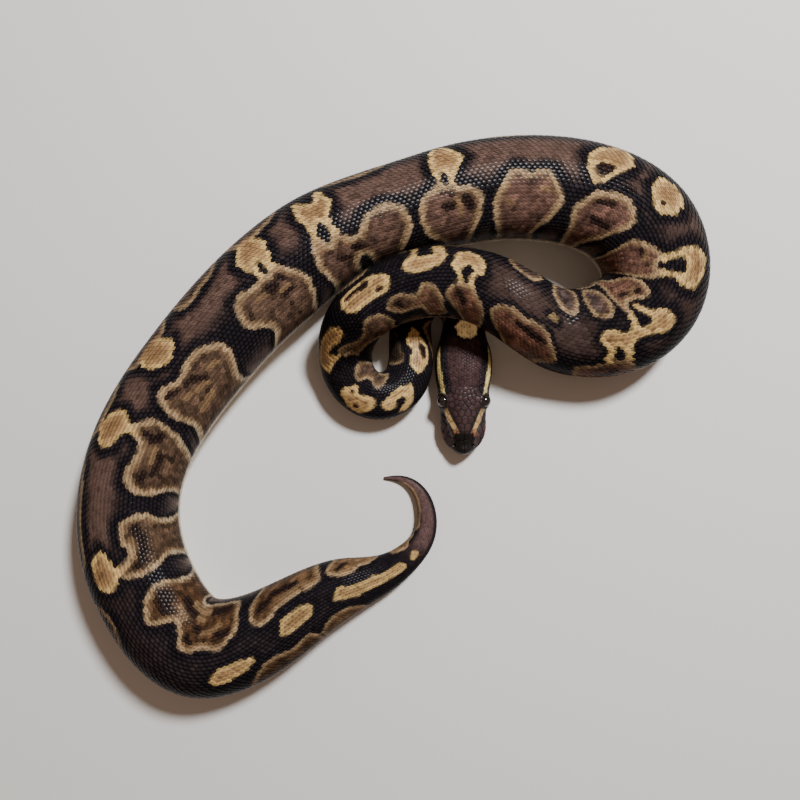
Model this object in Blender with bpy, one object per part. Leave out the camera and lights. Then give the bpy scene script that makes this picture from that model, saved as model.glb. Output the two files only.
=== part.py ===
"""Ball python at rest, life size: one still body lying in a loop, its neck under a crossing coil."""
import math

import bmesh
import bpy
import numpy as np

MM = 0.001                 # the sizes below are in millimetres
middle = (0.134, 0.193)    # centre of the plan outline, moved onto the origin
gap = 0.3                  # clear space between neighbouring pieces
outerStep = 6.6            # spacing of the cross-sections along the outer side of the bends
ringSides = 22

# The middle line of the body on the floor, from the nape to the tip of the tail (x, y)
neckRoute = ((25.0, 29.4), (24.9, 33.4), (22.2, 39.9), (15.7, 42.6), (9.2, 39.9), (6.3, 33.4), (6.3, 25.8))
coilRoute = ((6.4, 18.6), (3.2, 10.4), (-4.4, 7.0), (-12.6, 10.8), (-16.4, 18.9), (-15.8, 26.6),
             (-8.8, 36.5))
crossingRoute = ((0.6, 42.1), (16.7, 45.4), (27.3, 43.9), (45.2, 35.5), (56.0, 30.2))
farLoopRoute = ((68.3, 29.5), (79.6, 32.5), (87.2, 39.6), (89.7, 49.0), (87.3, 59.6), (79.4, 69.2),
                (66.0, 75.6), (50.6, 78.2))
trunkRoute = ((25.0, 76.6), (1.2, 69.3), (-22.4, 59.6), (-44.7, 43.4), (-68.8, 16.6), (-84.0, -6.8),
              (-90.3, -29.8), (-88.1, -49.0), (-82.0, -62.9))
tailRoute = ((-74.9, -72.9), (-66.3, -78.7), (-57.0, -78.8), (-37.8, -70.6), (-17.1, -59.5),
             (-0.4, -54.0), (6.5, -48.8), (11.3, -42.6), (12.4, -36.0), (11.0, -29.4), (7.4, -24.2),
             (2.4, -22.0), (-3.2, -22.2))

# Half the body's width at distances from the nape
girth = ((0, 7.9), (6, 7.1), (20, 6.9), (45, 8.0), (70, 8.7), (95, 10.1), (120, 11.6), (145, 12.4),
         (165, 13.2), (190, 17.0), (212, 18.0), (232, 19.0), (250, 18.4), (290, 17.4), (312, 17.2),
         (350, 18.3), (410, 17.5), (455, 17.1), (480, 17.3), (503, 17.1), (520, 17.0), (545, 14.1),
         (560, 12.2), (572, 10.4), (582, 7.6), (592, 5.6), (606, 4.0), (618, 3.1), (628, 1.6), (636, 0.5))

heightRatio = 0.85         # body height over its width
beltRatio = 0.47           # height of the widest line over the body height
bellyDepth = 0.56          # the belly's curve below that line, before the floor flattens it
sectionPower = 2.15        # 2 is an ellipse, more is squarer

# The crossing coil climbs over the neck between these distances from the nape
climbStart = 182.0
crestStart = 143.0
crestEnd = 107.0
climbEnd = 80.0
crestLift = 12.9

# The crossing coil presses a hollow into the inner side of the trunk it leans on
hollowStart = 296.0
hollowEnd = 372.0
hollowDepth = 3.4

# Where the body is parted into its lengths
neckEnd = 31.0
trunkCuts = (53, 76, 99, 124, 152, 190, 227, 262, 296, 331, 366, 401, 436, 468, 499, 534, 568)
tailCuts = (603,)

# Head: distance behind the snout tip, half width, height of the crown over the jaw's underside
headStations = ((0.0, 1.2, 3.0), (0.6, 2.5, 4.4), (2.1, 4.5, 6.2), (4.5, 6.5, 7.6), (7.1, 7.6, 8.7),
                (10.1, 8.05, 9.7), (13.0, 8.0, 10.6), (16.4, 8.2, 11.3), (20.0, 8.7, 11.9),
                (23.3, 9.4, 12.3), (27.1, 10.1, 12.6), (31.5, 10.35, 12.7), (36.0, 10.0, 12.4),
                (39.6, 9.0, 12.2), (42.4, 8.0, 12.3))
# How much narrower the crown is than the lips, from the snout to the jaw's corner
shoulderStations = ((0.0, 0.35), (4.0, 0.5), (12.0, 0.42), (18.0, 0.22), (24.0, 0.16), (32.0, 0.08),
                    (42.4, 0.0))
headX = 24.9
snoutY = -13.3
headSides = 24
headPower = 2.3
headBelt = 0.44            # height of the widest line over the head's height
chinLift = 2.4             # the head is held a little off the floor, more at the chin
chinCurve = 2.4            # rise of the chin's front end
chinLength = 5.5
mouthFront = 2.6           # mouth line over the jaw's underside at the snout
mouthBack = 4.6
mouthCorner = 25.5         # distance of the mouth's corner behind the snout tip
eyeBack = 18.9
eyeRadius = 2.25
eyeOut = 7.1              # the eye's centre beside the head's middle line
eyeHeight = 9.1
eyeFacets = (14, 9)

colours = {"head": (0.062, 0.036, 0.030), "jaw": (0.095, 0.060, 0.042), "body": (0.035, 0.022, 0.020),
           "eye": (0.006, 0.005, 0.006)}


def clearScene():
    for item in list(bpy.data.objects):
        bpy.data.objects.remove(item)


def spline(knots, values, where):
    """Natural cubic through the values, read at the places asked for."""
    knots = np.asarray(knots, float)
    values = np.asarray(values, float)
    step = np.diff(knots)
    slope = np.diff(values) / step
    matrix = np.eye(len(knots))
    right = np.zeros(len(knots))
    for i in range(1, len(knots) - 1):
        matrix[i, i - 1:i + 2] = (step[i - 1], 2 * (step[i - 1] + step[i]), step[i])
        right[i] = 6 * (slope[i] - slope[i - 1])
    second = np.linalg.solve(matrix, right)
    i = np.clip(np.searchsorted(knots, where) - 1, 0, len(step) - 1)
    part = where - knots[i]
    first = slope[i] - step[i] * (2 * second[i] + second[i + 1]) / 6
    third = (second[i + 1] - second[i]) / step[i]
    return values[i] + part * (first + part * (second[i] / 2 + part * third / 6))


def smoothStep(start, end, where):
    t = np.clip((where - start) / (end - start), 0, 1)
    return t * t * (3 - 2 * t)


def rounded(values, reach):
    """A running mean that leaves both ends in place."""
    kernel = np.hanning(2 * reach + 3)[1:-1]
    kernel /= kernel.sum()
    before = 2 * values[0] - values[reach:0:-1]
    after = 2 * values[-1] - values[-2:-reach - 2:-1]
    return np.convolve(np.concatenate((before, values, after)), kernel, "valid")


def bodyLine():
    """Middle line every 0.5 mm: distance from the nape, x, y, and the unit direction."""
    points = np.array(neckRoute + coilRoute + crossingRoute + farLoopRoute + trunkRoute + tailRoute)
    chord = np.concatenate(([0], np.cumsum(np.hypot(*np.diff(points, axis=0).T))))
    fine = np.linspace(0, chord[-1], 4000)
    x = spline(chord, points[:, 0], fine)
    y = spline(chord, points[:, 1], fine)
    length = np.concatenate(([0], np.cumsum(np.hypot(np.diff(x), np.diff(y)))))
    even = np.linspace(0, length[-1], int(length[-1] * 2) + 1)
    x = rounded(np.interp(even, length, x), 14)
    y = rounded(np.interp(even, length, y), 14)
    dx = rounded(np.gradient(x, even), 28)
    dy = rounded(np.gradient(y, even), 28)
    size = np.hypot(dx, dy)
    return even, x, y, dx / size, dy / size


line = bodyLine()
bodyLength = float(line[0][-1])


def halfWidth(s):
    stations = np.array(girth, float)
    raw = np.interp(line[0], stations[:, 0] * bodyLength / stations[-1, 0], stations[:, 1])
    return np.interp(s, line[0], rounded(raw, 14))


def lift(s):
    rise = smoothStep(climbStart, crestStart, s)
    fall = smoothStep(climbEnd, crestEnd, s)
    return crestLift * rise * fall


def hollow(s):
    """How far the inner side of the trunk is pushed in."""
    half = (hollowEnd - hollowStart) / 2
    near = smoothStep(hollowStart, hollowStart + half, s)
    far = smoothStep(hollowEnd, hollowEnd - half, s)
    return hollowDepth * near * far


def bodyRing(s):
    """One closed cross-section, an upright plane across the body at distance s."""
    x, y, dx, dy = (float(np.interp(s, line[0], column)) for column in line[1:])
    half = float(halfWidth(s))
    slope = lift(s + 0.5) - lift(s - 0.5)
    height = 2 * half * heightRatio * math.sqrt(1 + slope * slope)
    belt = height * beltRatio
    ring = []
    for i in range(ringSides):
        turn = 2 * math.pi * i / ringSides
        side = math.copysign(abs(math.sin(turn)) ** (2 / sectionPower), math.sin(turn))
        side *= half if side > 0 else half - hollow(s)
        up = math.copysign(abs(math.cos(turn)) ** (2 / sectionPower), math.cos(turn))
        up *= height * (1 - beltRatio if up > 0 else bellyDepth)
        z = max(lift(s) + belt + up, lift(s))
        ring.append((x + side * dy, y - side * dx, z))
    return ring


def station(table, back, column):
    rows = np.array(table)
    return float(np.interp(back, rows[:, 0], rows[:, column]))


def headBase(back):
    """Height of the head's underside."""
    curve = max(0.0, 1 - back / chinLength)
    return chinLift * (1 - back / headStations[-1][0]) + chinCurve * curve * curve


def mouthLine(back):
    along = back / mouthCorner
    return chinLift * (1 - back / headStations[-1][0]) + mouthFront * (1 - along) + mouthBack * along


def headRing(back, low=0.0, high=99.0, narrow=1.0):
    """One head section, kept between two heights."""
    half = station(headStations, back, 1) * narrow
    tall = station(headStations, back, 2)
    shoulder = station(shoulderStations, back, 1)
    bottom = headBase(back)
    ring = []
    for i in range(headSides):
        turn = 2 * math.pi * i / headSides
        across = math.copysign(abs(math.sin(turn)) ** (2 / headPower), math.sin(turn))
        up = math.copysign(abs(math.cos(turn)) ** (2 / headPower), math.cos(turn))
        side = across * half * (1 - shoulder * max(up, 0))
        z = bottom + tall * headBelt + up * tall * (1 - headBelt if up > 0 else headBelt)
        ring.append((headX - side, snoutY + back, min(max(z, low), high)))
    return ring


def placed(point):
    """Millimetres on the drawing to metres in the part's own frame."""
    return ((point[0] - middle[0]) * MM, (point[1] - middle[1]) * MM, point[2] * MM)


def loft(name, rings, material):
    """Closed solid through the rings, with flat ends."""
    mesh = bpy.data.meshes.new(name)
    shape = bmesh.new()
    rows = [[shape.verts.new(placed(point)) for point in ring] for ring in rings]
    count = len(rings[0])
    for near, far in zip(rows, rows[1:]):
        for i in range(count):
            j = (i + 1) % count
            shape.faces.new((near[i], near[j], far[j], far[i]))
    shape.faces.new(rows[0][::-1])
    shape.faces.new(rows[-1])
    bmesh.ops.recalc_face_normals(shape, faces=shape.faces)
    shape.to_mesh(mesh)
    shape.free()
    mesh.shade_smooth()
    mesh.set_sharp_from_angle(angle=math.radians(50))
    mesh.materials.append(material)
    item = bpy.data.objects.new(name, mesh)
    bpy.context.scene.collection.objects.link(item)
    return item


def skinMaterial(name, colour, roughness):
    material = bpy.data.materials.new(name)
    material.use_nodes = True
    shader = material.node_tree.nodes["Principled BSDF"]
    shader.inputs["Base Color"].default_value = (*colour, 1)
    shader.inputs["Roughness"].default_value = roughness
    return material


def bend(s):
    """Half the width over the radius of the bend: 1 would close its inner side to a point."""
    turnX = float(np.interp(s + 1, line[0], line[3]) - np.interp(s - 1, line[0], line[3])) / 2
    turnY = float(np.interp(s + 1, line[0], line[4]) - np.interp(s - 1, line[0], line[4])) / 2
    return math.hypot(turnX, turnY) * float(halfWidth(s))


def cutGap(s):
    """Half the width of a cut at the middle line: wider in a bend, to stay open on its inner side."""
    return gap / 2 / (1 - bend(s))


def bodyPiece(name, start, end):
    fine = np.linspace(start, end, 60)
    outer = np.cumsum([1 + bend(float(s)) for s in fine]) * (fine[1] - fine[0])
    steps = max(3, round((outer[-1] - outer[0]) / outerStep))
    places = np.interp(np.linspace(outer[0], outer[-1], steps + 1), outer, fine)
    loft(name, [bodyRing(float(s)) for s in places], skinMaterial(name, colours["body"], 0.38))


def buildBody():
    ends = (0.4, neckEnd) + trunkCuts + tailCuts + (bodyLength,)
    names = ["neck"]
    names += [f"trunk_{i + 1:02d}" for i in range(len(trunkCuts))]
    names += [f"tail_{i + 1}" for i in range(len(tailCuts) + 1)]
    for name, start, end in zip(names, ends, ends[1:]):
        bodyPiece(name, start + cutGap(start), end - cutGap(end))


def buildHead():
    """The head and the lower jaw, parted along the mouth line."""
    backs = [row[0] for row in headStations]
    front = [back for back in backs if back < mouthCorner] + [mouthCorner]
    upper = [headRing(back, low=mouthLine(back) + gap / 2) for back in front]
    upper += [headRing(back) for back in [mouthCorner + gap] + backs if back > mouthCorner]
    lower = [headRing(back, high=mouthLine(back) - gap / 2, narrow=0.97) for back in front if back > 0.5]
    lower[-1] = headRing(mouthCorner - gap, high=mouthLine(mouthCorner) - gap / 2, narrow=0.97)
    head = loft("head", upper, skinMaterial("head", colours["head"], 0.35))
    loft("lower_jaw", lower, skinMaterial("lower_jaw", colours["jaw"], 0.4))
    return head


def ball(name, x, radius):
    mesh = bpy.data.meshes.new(name)
    shape = bmesh.new()
    bmesh.ops.create_uvsphere(shape, u_segments=eyeFacets[0], v_segments=eyeFacets[1], radius=radius * MM)
    shape.to_mesh(mesh)
    shape.free()
    mesh.shade_smooth()
    item = bpy.data.objects.new(name, mesh)
    item.location = placed((x, snoutY + eyeBack, eyeHeight))
    item.rotation_euler = (0, math.pi / 2, 0)
    bpy.context.scene.collection.objects.link(item)
    return item


def buildEyes(head):
    """Each eyeball sits in a socket cut out of the head, with a small gap."""
    for name, side in (("eye_left", 1), ("eye_right", -1)):
        eye = ball(name, headX + side * eyeOut, eyeRadius)
        eye.data.materials.append(skinMaterial(name, colours["eye"], 0.08))
        cutter = ball(f"socket_{name}", headX + side * eyeOut, eyeRadius + gap)
        cutter.hide_render = True
        cutter.display_type = "WIRE"
        cut = head.modifiers.new(f"socket_{name}", "BOOLEAN")
        cut.operation = "DIFFERENCE"
        cut.object = cutter


clearScene()
buildBody()
buildEyes(buildHead())
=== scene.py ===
import math
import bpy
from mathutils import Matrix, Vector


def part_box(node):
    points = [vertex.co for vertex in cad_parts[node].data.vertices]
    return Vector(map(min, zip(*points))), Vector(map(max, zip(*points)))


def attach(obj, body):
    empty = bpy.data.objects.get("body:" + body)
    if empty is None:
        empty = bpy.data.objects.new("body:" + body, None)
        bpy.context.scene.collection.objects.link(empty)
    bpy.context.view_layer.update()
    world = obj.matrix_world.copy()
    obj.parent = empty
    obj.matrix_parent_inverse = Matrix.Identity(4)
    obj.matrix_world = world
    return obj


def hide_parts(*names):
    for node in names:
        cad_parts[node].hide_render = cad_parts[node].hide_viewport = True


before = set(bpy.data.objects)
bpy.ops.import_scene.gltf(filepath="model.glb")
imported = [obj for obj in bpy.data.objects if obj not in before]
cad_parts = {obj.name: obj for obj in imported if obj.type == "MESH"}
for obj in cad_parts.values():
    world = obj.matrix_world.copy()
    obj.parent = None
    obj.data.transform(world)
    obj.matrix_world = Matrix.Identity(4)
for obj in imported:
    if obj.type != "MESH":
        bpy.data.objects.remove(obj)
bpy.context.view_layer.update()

from types import SimpleNamespace

import bmesh
import bpy
import mathutils
import numpy as np

mm = 0.001  # the numbers in the dictionaries below are in millimetres unless a note says otherwise

# Where the animal lies: its middle line on the floor, from the nape to the tip of the tail
pose = {
    "neck": ((25.0, 29.4), (24.9, 33.4), (22.2, 39.9), (15.7, 42.6), (9.2, 39.9), (6.3, 33.4),
             (6.3, 25.8)),
    "coil": ((6.4, 18.6), (3.2, 10.4), (-4.4, 7.0), (-12.6, 10.8), (-16.4, 18.9), (-15.8, 26.6),
             (-8.8, 36.5)),
    "crossing": ((0.6, 42.1), (16.7, 45.4), (27.3, 43.9), (45.2, 35.5), (56.0, 30.2)),
    "farLoop": ((68.3, 29.5), (79.6, 32.5), (87.2, 39.6), (89.7, 49.0), (87.3, 59.6), (79.4, 69.2),
                (66.0, 75.6), (50.6, 78.2)),
    "trunk": ((25.0, 76.6), (1.2, 69.3), (-22.4, 59.6), (-44.7, 43.4), (-68.8, 16.6), (-84.0, -6.8),
              (-90.3, -29.8), (-88.1, -49.0), (-82.0, -62.9)),
    "tail": ((-74.9, -72.9), (-66.3, -78.7), (-57.0, -78.8), (-37.8, -70.6), (-17.1, -59.5),
             (-0.4, -54.0), (6.5, -48.8), (11.3, -42.6), (12.4, -36.0), (11.0, -29.4), (7.4, -24.2),
             (2.4, -22.0), (-3.2, -22.2)),
    "middle": (0.134, 0.193),  # the point of that drawing that lies on the origin
    "climb": (182.0, 143.0),   # the crossing coil rises and falls between these distances from the nape
    "descend": (80.0, 107.0),
    "lift": 12.9,
}

# The body's build, the same as the solids'
body = {
    "girth": ((0, 7.9), (6, 7.1), (20, 6.9), (45, 8.0), (70, 8.7), (95, 10.1), (120, 11.6), (145, 12.4),
              (165, 13.2), (190, 17.0), (212, 18.0), (232, 19.0), (250, 18.4), (290, 17.4), (312, 17.2),
              (350, 18.3), (410, 17.5), (455, 17.1), (480, 17.3), (503, 17.1), (520, 17.0), (545, 14.1),
              (560, 12.2), (572, 10.4), (582, 7.6), (592, 5.6), (606, 4.0), (618, 3.1), (628, 1.6),
              (636, 0.5)),
    "heightRatio": 0.85,
    "beltRatio": 0.47,
    "bellyDepth": 0.56,
    "power": 2.15,
    "hollow": (296.0, 372.0, 3.4),  # where the crossing coil presses the trunk in, and how far
    # How far round the body the middle of the back lies from the top, as a share of the girth
    "back": ((-42, 0), (0, 0), (20, -0.03), (40, -0.065), (60, -0.065), (100, -0.06), (140, -0.06),
             (165, 0), (190, 0.05), (215, 0.07), (260, 0.08), (345, 0.08), (440, 0.08), (482, 0.065),
             (535, 0.05), (565, 0), (641, 0)),
}

head = {
    # distance behind the snout tip, half width, height of the crown over the jaw's underside
    "stations": ((0.0, 1.2, 3.0), (0.6, 2.5, 4.4), (2.1, 4.5, 6.2), (4.5, 6.5, 7.6), (7.1, 7.6, 8.7),
                 (10.1, 8.05, 9.7), (13.0, 8.0, 10.6), (16.4, 8.2, 11.3), (20.0, 8.7, 11.9),
                 (23.3, 9.4, 12.3), (27.1, 10.1, 12.6), (31.5, 10.35, 12.7), (36.0, 10.0, 12.4),
                 (39.6, 9.0, 12.2), (42.4, 8.0, 12.3)),
    "shoulder": ((0.0, 0.35), (4.0, 0.5), (12.0, 0.42), (18.0, 0.22), (24.0, 0.16), (32.0, 0.08),
                 (42.4, 0.0)),
    "x": 24.9,
    "snoutY": -13.3,
    "length": 42.4,
    "power": 2.3,
    "belt": 0.44,
    "lift": 2.4,
    "chinCurve": 2.4,
    "chinLength": 5.5,
    "mouth": (2.6, 4.6, 25.5),  # its line's height at the snout and at the corner, and that corner
    "eye": (18.9, 7.1, 9.1),        # back from the snout, out from the middle, height
    "eyeRadius": 2.25,
    "gaze": (0.8, -0.1, 0.59),      # the way the left eye looks
    "eyeOpening": 1.95,
    "brow": 4.6,                    # how far from the eye's axis the rise round it reaches
    "canthus": 0.35,                # height of the ridge from the nostril to the eye
    "ridge": ((3.0, 3.4), (8.0, 4.2), (12.0, 5.8), (16.0, 6.9)),  # how far out it runs
    "loreal": 0.55,                 # depth of the hollow between that ridge and the lip
    "lips": 0.3,                    # fullness of the upper lip
    "snoutStep": 0.3,               # from the crown down to the plates of the snout
    "nostril": (3.3, 3.3),          # back and out
    "pits": (1.5, 4.2, 6.7, 9.2),   # heat pits of the upper lip
    "sunk": {"mouth": 0.55, "nostril": 0.9, "pit": 0.4},  # how deep they are
}

coat = {
    # thickness of the scales over the skin by distance from the nape, and the most of it over the girth
    "depth": ((-42.4, 0.1), (-36, 0.26), (-20, 0.26), (30, 0.28), (120, 0.48)),
    "most": 0.011,
    "inside": 0.0022,     # how far they stay within the solids, over the girth
    "lowest": 0.02,       # and over the floor
    # how far apart the rows of scales are, and a scale's length over that
    "spacing": ((-42, 0.8), (-24, 0.95), (0, 1.0), (60, 1.02), (120, 1.2), (190, 1.38), (520, 1.38),
                (568, 1.1), (600, 0.78), (625, 0.5), (641, 0.3)),
    "pitch": ((-20, 1.06), (0, 1.1), (25, 1.26), (641, 1.26)),
    "bellyShare": 0.135,  # half the belly plates' width over the girth
    "plates": 1.62,       # one belly plate for so many scales
    "throat": -14.0,      # where the plates of the belly begin
    "vent": 568.0,        # where they end and those of the tail begin
    "sharp": 40,          # edges of scales and plates steeper than so many degrees stay sharp
    # distances from the nape at which the coat is parted into pieces
    "bounds": (-42.0, -3.0, 120.0, 215.0, 290.0, 365.0, 440.0, 515.0, 641.0),
}


def ramp(start, end, where):  # 0 before the start, 1 beyond the end, smooth between
    t = np.clip((np.asarray(where, float) - start) / (end - start), 0, 1)
    return t * t * (3 - 2 * t)


def spline(knots, values, where):  # natural cubic through the values
    knots = np.asarray(knots, float)
    values = np.asarray(values, float)
    step = np.diff(knots)
    slope = np.diff(values) / step
    matrix = np.eye(len(knots))
    right = np.zeros(len(knots))
    for i in range(1, len(knots) - 1):
        matrix[i, i - 1:i + 2] = (step[i - 1], 2 * (step[i - 1] + step[i]), step[i])
        right[i] = 6 * (slope[i] - slope[i - 1])
    second = np.linalg.solve(matrix, right)
    i = np.clip(np.searchsorted(knots, where) - 1, 0, len(step) - 1)
    part = where - knots[i]
    first = slope[i] - step[i] * (2 * second[i] + second[i + 1]) / 6
    third = (second[i + 1] - second[i]) / step[i]
    return values[i] + part * (first + part * (second[i] / 2 + part * third / 6))


def rounded(values, reach):  # running mean that leaves both ends in place
    kernel = np.hanning(2 * reach + 3)[1:-1]
    kernel /= kernel.sum()
    before = 2 * values[0] - values[reach:0:-1]
    after = 2 * values[-1] - values[-2:-reach - 2:-1]
    return np.convolve(np.concatenate((before, values, after)), kernel, "valid")


def bodyLine():  # distance from the nape, x, y and direction, every half millimetre
    parts = ("neck", "coil", "crossing", "farLoop", "trunk", "tail")
    points = np.array([point for part in parts for point in pose[part]])
    chord = np.concatenate(([0], np.cumsum(np.hypot(*np.diff(points, axis=0).T))))
    fine = np.linspace(0, chord[-1], 4000)
    x = spline(chord, points[:, 0], fine)
    y = spline(chord, points[:, 1], fine)
    length = np.concatenate(([0], np.cumsum(np.hypot(np.diff(x), np.diff(y)))))
    even = np.linspace(0, length[-1], int(length[-1] * 2) + 1)
    x = rounded(np.interp(even, length, x), 14)
    y = rounded(np.interp(even, length, y), 14)
    dx = rounded(np.gradient(x, even), 28)
    dy = rounded(np.gradient(y, even), 28)
    size = np.hypot(dx, dy)
    return even, x, y, dx / size, dy / size


line = bodyLine()
bodyLength = float(line[0][-1])


def table(rows, where, column=1):
    rows = np.array(rows, float)
    return np.interp(where, rows[:, 0], rows[:, column])


def halfWidth(s):
    stations = np.array(body["girth"], float)
    raw = np.interp(line[0], stations[:, 0] * bodyLength / stations[-1, 0], stations[:, 1])
    return np.interp(s, line[0], rounded(raw, 14))


def liftAt(s):
    rise = ramp(*pose["climb"], s)
    fall = ramp(*pose["descend"], s)
    return pose["lift"] * rise * fall


def hollowAt(s):
    start, end, depth = body["hollow"]
    half = (end - start) / 2
    return depth * ramp(start, start + half, s) * ramp(end, end - half, s)


def backAt(s):  # the back's middle as a share of the girth from the top
    even = np.arange(-42.0, 642.0, 1.0)
    return np.interp(s, even, rounded(table(body["back"], even), 8))


def power(value, exponent):
    return np.sign(value) * np.abs(value) ** exponent


def bodySections(s, turn):  # side and height of the body's cross-sections
    half = halfWidth(s)[:, None]
    slope = (liftAt(s + 0.5) - liftAt(s - 0.5))[:, None]
    tall = 2 * half * body["heightRatio"] * np.sqrt(1 + slope * slope)
    belt = tall * body["beltRatio"]
    side = power(np.sin(turn), 2 / body["power"])[None]
    side = side * np.where(side > 0, half, half - hollowAt(s)[:, None])
    up = power(np.cos(turn), 2 / body["power"])[None]
    up = up * np.where(up > 0, tall * (1 - body["beltRatio"]), tall * body["bellyDepth"])
    return side, liftAt(s)[:, None] + np.maximum(belt + up, 0)


def headSections(back, turn):  # side and height of the head's cross-sections
    stations = np.array(head["stations"])
    root = np.sqrt(np.maximum(back, 0))
    half = spline(np.sqrt(stations[:, 0]), np.concatenate(([0], stations[1:, 1])), root)
    tall = spline(np.sqrt(stations[:, 0]), np.concatenate(([0], stations[1:, 2])), root)
    curve = np.maximum(0, 1 - back / head["chinLength"])
    bottom = head["lift"] * (1 - back / head["length"]) + head["chinCurve"] * curve**2
    belt = bottom + head["belt"] * table(head["stations"], back, 2)
    side = power(np.sin(turn), 2 / head["power"])[None] * np.maximum(half, 0)[:, None]
    up = power(np.cos(turn), 2 / head["power"])[None]
    side = side * (1 - table(head["shoulder"], back)[:, None] * np.maximum(up, 0))
    reach = np.where(up > 0, 1 - head["belt"], head["belt"]) * np.maximum(tall, 0)[:, None]
    return side, belt[:, None] + up * reach


def mouthLine(back):
    start, end, corner = head["mouth"]
    return start + (end - start) * np.clip(back / corner, 0, 1) ** 1.3


def aside(point):  # how far places lie from the head's middle plane, above 0 on its left
    return point[..., 0] + pose["middle"][0] - head["x"]


def eyeAxis(side):  # the middle of an eye and the way it looks, side 1 for the left one
    back, out, up = head["eye"]
    centre = np.array((head["x"] + side * out, head["snoutY"] + back, up))
    centre[:2] -= pose["middle"]
    gaze = np.array(head["gaze"]) * (side, 1, 1)
    return centre, gaze / np.linalg.norm(gaze)


def shapeHead(surface):  # the rise round the eyes, the ridges of the muzzle and the full lips
    rows = surface.s < -6
    point = surface.point[rows]
    back = (surface.s[rows] + head["length"])[:, None]
    sign = np.sign(aside(point))
    out = np.abs(aside(point))
    up = point[..., 2]
    # loreal hollow between the ridge and the lip
    ridge = table(head["ridge"], back)
    muzzle = ramp(3.0, 6.0, back) * ramp(17.5, 14.0, back)
    rise = head["canthus"] * np.exp(-((out - ridge) / 0.8) ** 2) * ramp(5.5, 7.0, up) * muzzle
    hollow = np.exp(-((up - 8.0) / 1.3) ** 2) * (out > ridge) * muzzle
    lip = head["lips"] * np.exp(-((up - mouthLine(back) - 1.5) / 1.3) ** 2) * ramp(1, 5, back)
    lip = lip * ramp(24, 15, back)
    move = rise * 0.8 - head["loreal"] * hollow + lip
    point[..., 0] += sign * move * 0.8
    point[..., 2] += rise * 0.7
    onSnout = ramp(8.6, 7.6, back) * ramp(1.5, 4.0, back) * ramp(5.5, 6.8, up)
    point[..., 2] -= head["snoutStep"] * onSnout
    opening = head["eyeOpening"]
    rim = math.sqrt(head["eyeRadius"]**2 - opening**2)
    for side in (-1, 1):
        centre, gaze = eyeAxis(side)
        away = point - centre
        high = away @ gaze
        ring = np.linalg.norm(away - high[..., None] * gaze, axis=-1)
        inside = rim - 0.7 * ramp(opening, opening - 0.5, ring)
        wanted = np.where(ring < opening, inside, rim - 0.05)
        weight = ramp(head["brow"], opening + 0.1, ring) * (high > -2.5)
        lifted = np.where(ring < opening, wanted, np.maximum(wanted, high)) - high
        point += (lifted * weight)[..., None] * gaze
    surface.point[rows] = point


def buildSurface():  # the animal's outer surface as a table: rows along it, columns evenly round it
    surface = SimpleNamespace()
    near = -head["length"] + np.linspace(0, 1, 12)[:-1] ** 2 * 3
    surface.s = np.concatenate((near, np.arange(-head["length"] + 3, bodyLength, 0.5), [bodyLength]))
    surface.f = np.linspace(-0.5, 0.5, 321)
    halfTurn = 360
    turn = np.linspace(-math.pi, math.pi, 2 * halfTurn + 1)
    s = surface.s
    sideB, upB = bodySections(np.maximum(s, 0), turn)
    sideH, upH = headSections(np.minimum(s + head["length"], head["length"]), turn)
    mix = ramp(-5, 7, s)[:, None]
    side = sideH * (1 - mix) + sideB * mix
    up = upH * (1 - mix) + upB * mix
    step = np.hypot(np.diff(side, axis=1), np.diff(up, axis=1))
    along = np.concatenate((np.zeros((len(s), 1)), np.cumsum(step, axis=1)), axis=1)
    along -= along[:, halfTurn:halfTurn + 1]
    surface.girth = along[:, -1] - along[:, 0]
    sides = np.empty((len(s), len(surface.f)))
    ups = np.empty_like(sides)
    for i in range(len(s)):
        share = along[i] / max(surface.girth[i], 1e-6)
        sides[i] = np.interp(surface.f, share, side[i])
        ups[i] = np.interp(surface.f, share, up[i])
    lineX, lineY, lineDx, lineDy = (np.interp(s, line[0], column) for column in line[1:])
    x = np.where(s < 0, head["x"], lineX)
    mix = ramp(-1.5, 1.5, s)
    x = np.where(np.abs(s) < 1.5, head["x"] * (1 - mix) + lineX * mix, x)[:, None]
    y = np.where(s < 0, head["snoutY"] + head["length"] + s, lineY)[:, None]
    dx = np.where(s < 0, 0.0, lineDx)[:, None]
    dy = np.where(s < 0, 1.0, lineDy)[:, None]
    surface.point = np.stack((x + sides * dy, y - sides * dx, ups), -1)
    surface.point[..., :2] -= pose["middle"]
    shapeHead(surface)
    alongS = np.gradient(surface.point, s, axis=0)
    wrapped = np.concatenate((surface.point[:, -2:-1], surface.point, surface.point[:, 1:2]), axis=1)
    alongF = (wrapped[:, 2:] - wrapped[:, :-2]) / 2
    normal = np.cross(alongF, alongS)
    normal /= np.maximum(np.linalg.norm(normal, axis=2, keepdims=True), 1e-9)
    surface.normal = normal
    surface.stretch = np.linalg.norm(alongS, axis=2)
    return surface


def lookUp(grid, s, f):  # a table of the surface, read between its rows and columns
    row = np.interp(s, outer.s, np.arange(len(outer.s)))
    column = np.mod(f + 0.5, 1.0) * (len(outer.f) - 1)
    i = np.minimum(row.astype(int), len(outer.s) - 2)
    j = np.minimum(column.astype(int), len(outer.f) - 2)
    p = row - i
    q = column - j
    if grid.ndim == 3:
        p = p[..., None]
        q = q[..., None]
    low = grid[i, j] * (1 - q) + grid[i, j + 1] * q
    high = grid[i + 1, j] * (1 - q) + grid[i + 1, j + 1] * q
    return low * (1 - p) + high * p


def girthAt(s):
    return np.interp(s, outer.s, outer.girth)


def place(s, f, depth):  # points so far below the coat's outer face, which lies just inside the solids
    normal = lookUp(outer.normal, s, f)
    depth = depth + coat["inside"] * girthAt(s)
    return lookUp(outer.point, s, f) - normal * np.asarray(depth)[..., None]


def coatDepth(s):  # thin on the head and on the tail's tip
    return np.minimum(table(coat["depth"], s), girthAt(s) * coat["most"])


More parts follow.
